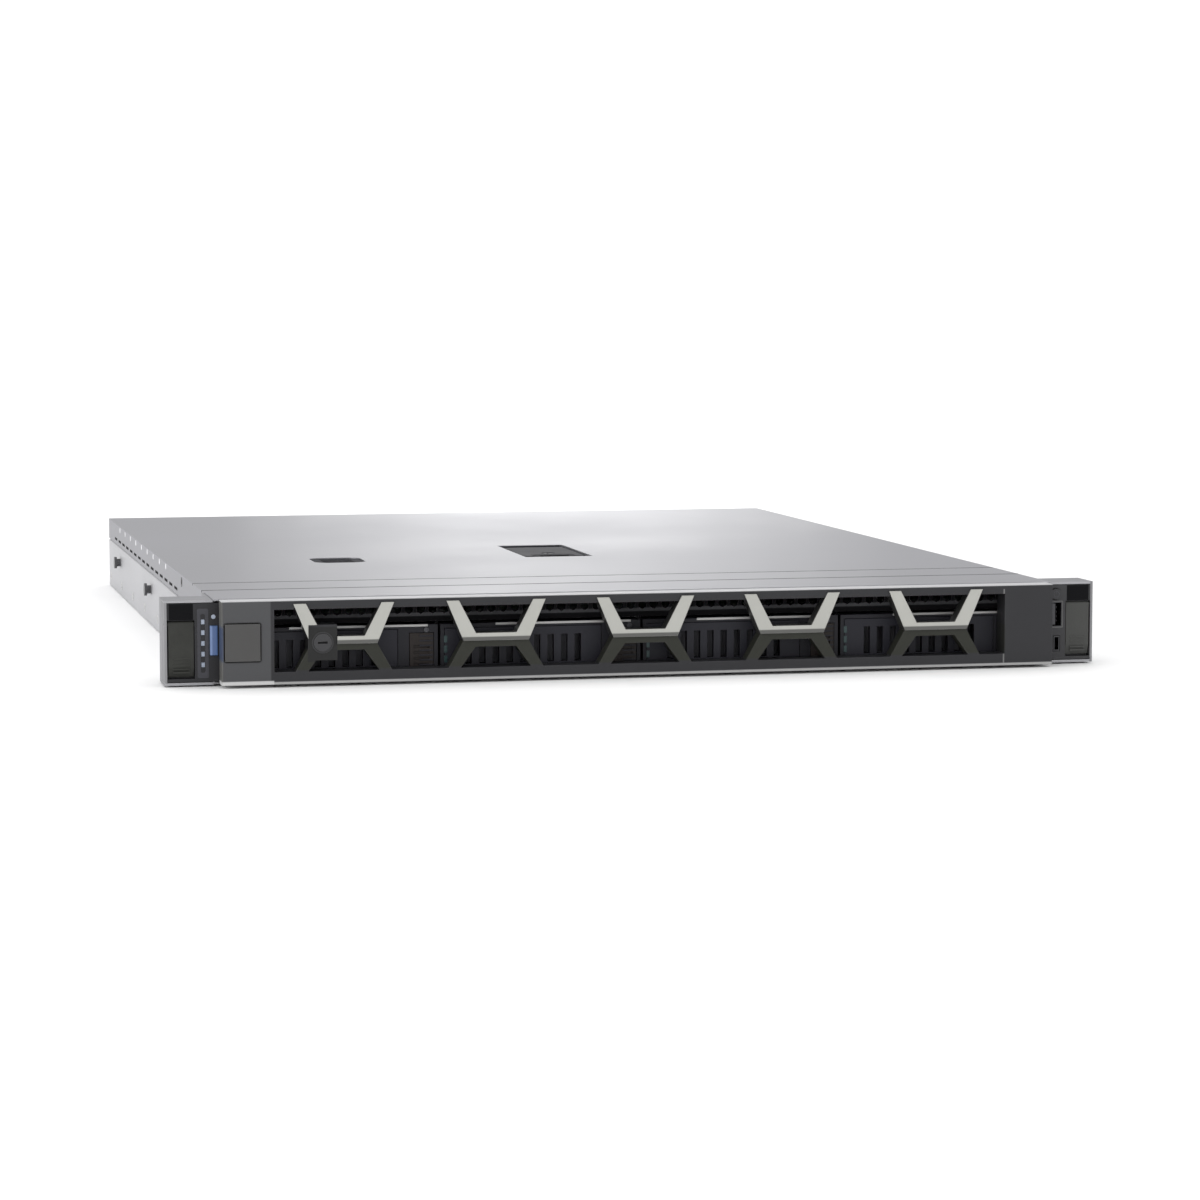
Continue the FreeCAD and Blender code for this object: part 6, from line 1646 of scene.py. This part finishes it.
@dataclass
class MainBoard(Assembly):
    """Board, processor cooler, memory and riser."""

    title: str = "main board"
    top: float = 7.0
    row_pitch: float = 12.0
    row_count: int = 7
    small_rows: int = 6
    module_count: int = 4
    module_pitch: float = 10.0
    module_chips: int = 10
    screw_inset: float = 5.0

    def finishes(self) -> dict[str, Finish]:
        """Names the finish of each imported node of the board."""
        return {
            "motherboard": BOARD_LACQUER,
            "cpu_heatsink": ALUMINIUM,
            "memory_sockets": SOCKET_PLASTIC,
            "memory_modules": BOARD_LACQUER,
            "expansion_riser": BOARD_LACQUER,
        }

    def build(self) -> None:
        """Adds chips, cans and chokes to the board, chips to the memory modules and screws to the cooler."""
        low, high = corners("motherboard")
        chips = Spots().put(
            [(low.x + 46.0, low.y + 208.0, self.top + 0.7), (low.x + 110.0, low.y + 236.0, self.top + 0.7),
             (high.x - 40.0, low.y + 92.0, self.top + 0.7), (high.x - 46.0, low.y + 190.0, self.top + 0.7)],
            Facing.UP,
        )
        large = chips.grow("board_chips", Detail.BLOCK, CHIP_RESIN, Width=16.0, Length=16.0, Height=1.6)
        self.mount(large, "chassis", Slot.BOARD)
        small = Spots()
        for line in range(self.small_rows):
            first = (low.x + 20.0 + 7.0 * line, low.y + 30.0, self.top + 0.5)
            small.put(row(first, (0.0, 11.0, 0.0), 6), Facing.UP)
        parts = small.grow("board_small_parts", Detail.BLOCK, CHIP_RESIN, Width=3.4, Length=2.0, Height=1.2)
        self.mount(parts, "chassis", Slot.BOARD)
        sink_low, sink_high = corners("cpu_heatsink")
        step = (0.0, self.row_pitch, 0.0)
        lines = row((sink_low.x - 12.0, sink_low.y + 6.0, self.top), step, self.row_count)
        cans = Spots().put(lines, Facing.UP).grow(
            "board_capacitors", Detail.CAN, ALUMINIUM, Radius=3.6, Height=8.0, Rim=0.5
        )
        self.mount(cans, "chassis", Slot.DRIVE)
        lines = row((sink_low.x - 22.0, sink_low.y + 6.0, self.top + 2.4), step, self.row_count)
        chokes = Spots().put(lines, Facing.UP)
        coils = chokes.grow("board_chokes", Detail.BLOCK, CHIP_RESIN, Width=8.4, Length=8.4, Height=5.0)
        self.mount(coils, "chassis", Slot.BOARD)
        module_low, module_high = corners("memory_modules")
        memory = Spots()
        for number in range(self.module_count):
            across = module_low.x + self.module_pitch * number - 0.45
            first = (across, module_low.y + 12.0, module_high.z - 9.0)
            memory.put(row(first, (0.0, 12.2, 0.0), self.module_chips), Facing.LEFT)
        slabs = memory.grow("memory_chips", Detail.BLOCK, CHIP_RESIN, Width=10.0, Length=9.0, Height=1.0)
        self.mount(slabs, "chassis", Slot.BOARD)
        inset = self.screw_inset
        places = [
            (across, along, sink_low.z + 4.0)
            for along in (sink_low.y + inset, sink_high.y - inset)
            for across in (sink_low.x + inset, sink_high.x - inset)
        ]
        screws = Spots().put(places, Facing.UP)
        heads = screws.grow(
            "cooler_screws", Detail.SCREW, BARE_STEEL,
            Head_Radius=1.3, Head_Height=6.0, Socket_Radius=0.7, Socket_Depth=1.0,
        )
        self.mount(heads, "chassis", Slot.SCREW)


@dataclass
class RearPorts(Assembly):
    """Back wall with its sockets, slot covers, screws and honeycomb vent."""

    title: str = "rear wall"
    cell_pitch: float = 4.4
    cell_web: float = 0.55
    cell_columns: int = 34
    cell_rows: int = 3
    shell_wide: float = 8.3
    shell_narrow: float = 7.1
    shell_tall: float = 4.1
    shell_half: float = 15.5
    post_reach: float = 12.4
    pin_pitch: float = 1.02
    lamp_reach: float = 6.4
    cover_screw_height: float = 39.3
    wall_screws: tuple[Span, ...] = ((72.0, 12.0), (172.0, 12.0), (209.0, 26.0), (66.0, 34.0))

    def finishes(self) -> dict[str, Finish]:
        """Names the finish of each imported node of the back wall."""
        return {
            "rear_panel": WALL_STEEL,
            "network_ports": BARE_STEEL,
            "rear_usb_ports": BARE_STEEL,
            "display_serial_ports": BARE_STEEL,
            "slot_covers": EDGE_STEEL,
        }

    def build(self) -> None:
        """Adds the vent, the shell sockets, contacts, lamps and screws."""
        self.vent()
        self.shell_sockets()
        self.contacts_and_lamps()
        low, high = corners("slot_covers")
        over_covers = (low.x + 3.0, (low.x + high.x) / 2, high.x - 3.0)
        spots = [(across, self.cover_screw_height) for across in over_covers]
        places = [(across, REAR_FACE, up) for across, up in (*spots, *self.wall_screws)]
        screws = Spots().put(places, Facing.BACK).grow(
            "rear_screws", Detail.SCREW, BARE_STEEL,
            Head_Radius=1.9, Head_Height=0.9, Socket_Radius=0.9, Socket_Depth=0.6,
        )
        self.mount(screws, "chassis", Slot.SCREW)

    def vent(self) -> None:
        """Makes the honeycomb vent and a black plate behind it, painted shade seen through its cells."""
        low, high = corners("slot_covers")
        start = (low.x + 4.0, REAR_FACE + 0.35, 5.2)
        web = Spots().put([start], Facing.BACK).grow(
            "rear_vent_web", Detail.HONEYCOMB, WALL_STEEL,
            Columns=self.cell_columns, Rows=self.cell_rows, Pitch=self.cell_pitch, Web=self.cell_web,
            Thickness=0.5,
        )
        self.mount(web, "chassis", Slot.STEEL)
        end = start[0] + self.cell_pitch * (self.cell_columns - 0.5)
        top = start[2] + self.cell_pitch * math.sqrt(3.0) / 2.0 * (self.cell_rows - 1)
        half = self.cell_pitch / 2.0
        centre = ((start[0] + end) / 2, (start[2] + top) / 2)
        # Painted shade: a black plate behind the web stands for the shade seen through the vent's cells.
        backing = Shaper()
        backing.prism(
            Plane.XZ, rounded_box(centre, end - start[0] + half * 1.7, top - start[2] + half * 2.0, 1.5),
            REAR_FACE - 0.2, REAR_FACE + 0.12,
        )
        self.mount(backing.hand_over("rear_vent_backing", SOCKET_PLASTIC), "chassis", Slot.BLACK)

    def shell_sockets(self) -> None:
        """Makes the video and serial sockets anew, with a shell round a pin field and threaded posts."""
        low, high = corners("display_serial_ports")
        body, shell, posts = Shaper(), Shaper(), Shaper()
        field_face, holes = Shaper(), Spots()
        half = self.shell_half
        centre_z = (low.z + high.z) / 2
        for middle in (low.x + half, high.x - half):
            body.block((middle - half, middle + half), (low.y, REAR_FACE + 0.5), (low.z, high.z))
            outer = self.shell_outline((middle, centre_z), 0.0)
            inner = self.shell_outline((middle, centre_z), -0.6)
            shell.washer(Plane.XZ, outer, inner, (REAR_FACE, high.y))
            field_face.prism(Plane.XZ, inner, REAR_FACE, high.y - 1.0)
            for side in (-1, 1):
                at = (middle + side * self.post_reach, centre_z)
                posts.washer(Plane.XZ, ring_of(at, 2.3, 6), ring_of(at, 1.3, 6), (REAR_FACE, high.y - 0.2))
            for line in range(3):
                first = (middle - 4.6 + (line % 2) * 1.1, high.y - 0.95, centre_z - 2.1 + line * 2.1)
                holes.put(row(first, (2.3, 0.0, 0.0), 5 - line % 2), Facing.BACK)
        piece = body.hand_over("shell_socket_bodies", BARE_STEEL, 0.3)
        self.mount(piece, "chassis", Slot.SCREW, "display_serial_ports")
        self.mount(shell.hand_over("shell_socket_rims", BARE_STEEL, 0.12), "chassis", Slot.SCREW)
        self.mount(posts.hand_over("shell_socket_posts", BARE_STEEL), "chassis", Slot.SCREW)
        self.mount(field_face.hand_over("shell_socket_inserts", TONGUE_BLUE, 0.15), "chassis", Slot.SCREW)
        pins = holes.grow(
            "shell_socket_contacts", Detail.EYELET, GOLD, Radius=0.55, Hole_Radius=0.3, Height=0.2
        )
        self.mount(pins, "chassis", Slot.SCREW)

    def shell_outline(self, centre: Span, grown: float) -> Outline:
        """Outline of a shell that is wider at its top.

        Args:
            centre: Its middle in the plane of the back wall.
            grown: How far it is offset outwards.

        Returns:
            Its corners in order.
        """
        wide, narrow, tall = self.shell_wide + grown, self.shell_narrow + grown, self.shell_tall + grown
        cut = 1.1
        return [
            (centre[0] - narrow + cut, centre[1] - tall), (centre[0] + narrow - cut, centre[1] - tall),
            (centre[0] + narrow, centre[1] - tall + cut), (centre[0] + wide, centre[1] + tall - cut),
            (centre[0] + wide - cut, centre[1] + tall), (centre[0] - wide + cut, centre[1] + tall),
            (centre[0] - wide, centre[1] + tall - cut), (centre[0] - narrow, centre[1] - tall + cut),
        ]

    def contacts_and_lamps(self) -> None:
        """Adds contacts inside the network and serial bus sockets, and the lamps beside them."""
        low, high = corners("network_ports")
        pins, lamps = Spots(), Spots()
        for middle in (low.x + 8.0, high.x - 8.0):
            first = (middle - self.pin_pitch * 3.5, high.y - 7.0, low.z + 8.2)
            pins.put(row(first, (self.pin_pitch, 0.0, 0.0), 8), Facing.UP)
            lamp_spots = (middle - self.lamp_reach, middle + self.lamp_reach)
            lamps.put([(across, high.y, high.z - 1.6) for across in lamp_spots], Facing.BACK)
        wires = pins.grow("network_contacts", Detail.BLOCK, GOLD, Width=0.4, Length=9.0, Height=0.3)
        self.mount(wires, "chassis", Slot.SCREW)
        glow = lamps.grow("network_lamps", Detail.BLOCK, LINK_LAMP, Width=2.2, Length=1.5, Height=0.3)
        self.mount(glow, "chassis", Slot.LIGHT)
        low, high = corners("rear_usb_ports")
        middle = (low.x + high.x) / 2
        reach = Spots()
        for lift in (2.6, 8.6):
            reach.put(row((middle - 3.5, high.y - 6.0, low.z + lift), (2.33, 0.0, 0.0), 4), Facing.UP)
        pads = reach.grow("rear_usb_contacts", Detail.BLOCK, GOLD, Width=1.0, Length=6.0, Height=0.3)
        self.mount(pads, "chassis", Slot.SCREW)


@dataclass
class Studio:
    """Pale floor, soft light and the camera at the photograph's viewing angle."""

    eye: Place = (-420.1, -2012.05, 207.1)
    yaw: float = 12.94
    pitch: float = 5.425
    lens: float = 106.45
    sensor: float = 36.0
    floor_half: float = 14.0
    floor_drop: float = 0.0004
    sky: float = 1.12
    mirrored_sky: float = 0.92
    glow_widths: tuple[float, ...] = (570.0, 470.0, 370.0, 280.0, 190.0)
    glow_power: float = 0.00046
    glow_gap: float = 12.0
    glow_place: Place = (262.0, 1100.0, 160.0)
    glow_height: float = 260.0
    top_place: Place = (0.0, 200.0, 1900.0)
    left_place: Place = (-2000.0, -700.0, 700.0)

    def build(self) -> None:
        """Makes the floor, the sky, the lamps and the camera."""
        self.floor()
        self.light()
        self.camera()

    def floor(self) -> None:
        """Lays one wide sheet of pale paper."""
        sheet = bpy.data.meshes.new("floor")
        half = self.floor_half
        edges = [(-half, -half, 0.0), (half, -half, 0.0), (half, half, 0.0), (-half, half, 0.0)]
        sheet.from_pydata(edges, [], [(0, 1, 2, 3)])
        sheet.transform(Matrix.Translation((0.0, 0.0, -self.floor_drop)))
        sheet.materials.append(STAGE_PAPER.material())
        floor = bpy.data.objects.new("floor", sheet)
        bpy.context.scene.collection.objects.link(floor)

    def light(self) -> None:
        """Fills the room with even light and hangs soft boxes over, beside and behind the server."""
        scene = bpy.context.scene
        scene.world = bpy.data.worlds.new("studio")
        scene.world.use_nodes = True
        graph = Graph(scene.world.node_tree)
        sky = scene.world.node_tree.nodes["Background"]
        sky.inputs["Color"].default_value = (1.0, 1.0, 1.0, 1.0)
        mirrored = graph.add("ShaderNodeLightPath").outputs["Is Glossy Ray"]
        graph.feed(graph.spread(mirrored, (0.0, 1.0), (self.sky, self.mirrored_sky)), sky.inputs["Strength"])
        across, back, up = self.glow_place
        for number, width in enumerate(self.glow_widths, 1):
            place = (across, back + self.glow_gap * number, up)
            self.soft_box(f"back_box_{number}", place, (width, self.glow_height), self.glow_power * width)
        self.soft_box("top_box", self.top_place, (1400.0, 1400.0), 4.0)
        self.soft_box("left_box", self.left_place, (1200.0, 900.0), 9.0)
        scene.view_settings.view_transform = "Standard"

    def soft_box(self, name: str, place: Place, size: Span, power: float) -> None:
        """Hangs one soft box that looks at the middle of the server.

        Args:
            name: Its name.
            place: Where its middle hangs, in millimetres.
            size: Its width and height in millimetres.
            power: Its power in watts.
        """
        lamp = bpy.data.lights.new(name, "AREA")
        lamp.shape = "RECTANGLE"
        lamp.size, lamp.size_y = size[0] * MM, size[1] * MM
        lamp.energy = power
        box = bpy.data.objects.new(name, lamp)
        box.visible_camera = False
        box.location = Vector(place) * MM
        box.rotation_euler = (Vector((0.0, 0.0, 0.02)) - box.location).to_track_quat("-Z", "Y").to_euler()
        bpy.context.scene.collection.objects.link(box)

    def camera(self) -> None:
        """Sets the camera up where the photograph was taken."""
        lens = bpy.data.cameras.new("camera")
        lens.lens = self.lens
        lens.sensor_width = self.sensor
        lens.sensor_fit = "HORIZONTAL"
        camera = bpy.data.objects.new("camera", lens)
        camera.location = Vector(self.eye) * MM
        camera.rotation_euler = (math.radians(90.0 - self.pitch), 0.0, math.radians(-self.yaw))
        bpy.context.scene.collection.objects.link(camera)
        bpy.context.scene.camera = camera


def main() -> None:
    """Builds the studio and every sub-assembly in order."""
    logging.basicConfig(level=logging.INFO, format="%(name)s: %(message)s")
    Studio().build()
    assemblies = (
        CaseShell(), LidLatch(), RackEars(), ControlPanels(), Bezel(),
        DriveBays(), CoolingFans(), PowerSupply(), MainBoard(), RearPorts(),
    )
    for assembly in assemblies:
        assembly.dress()
        assembly.build()
        for piece in assembly.pieces:
            log.info("%s: %s has %d faces", assembly.title, piece.name, len(piece.data.polygons))


if __name__ == "__main__":
    main()
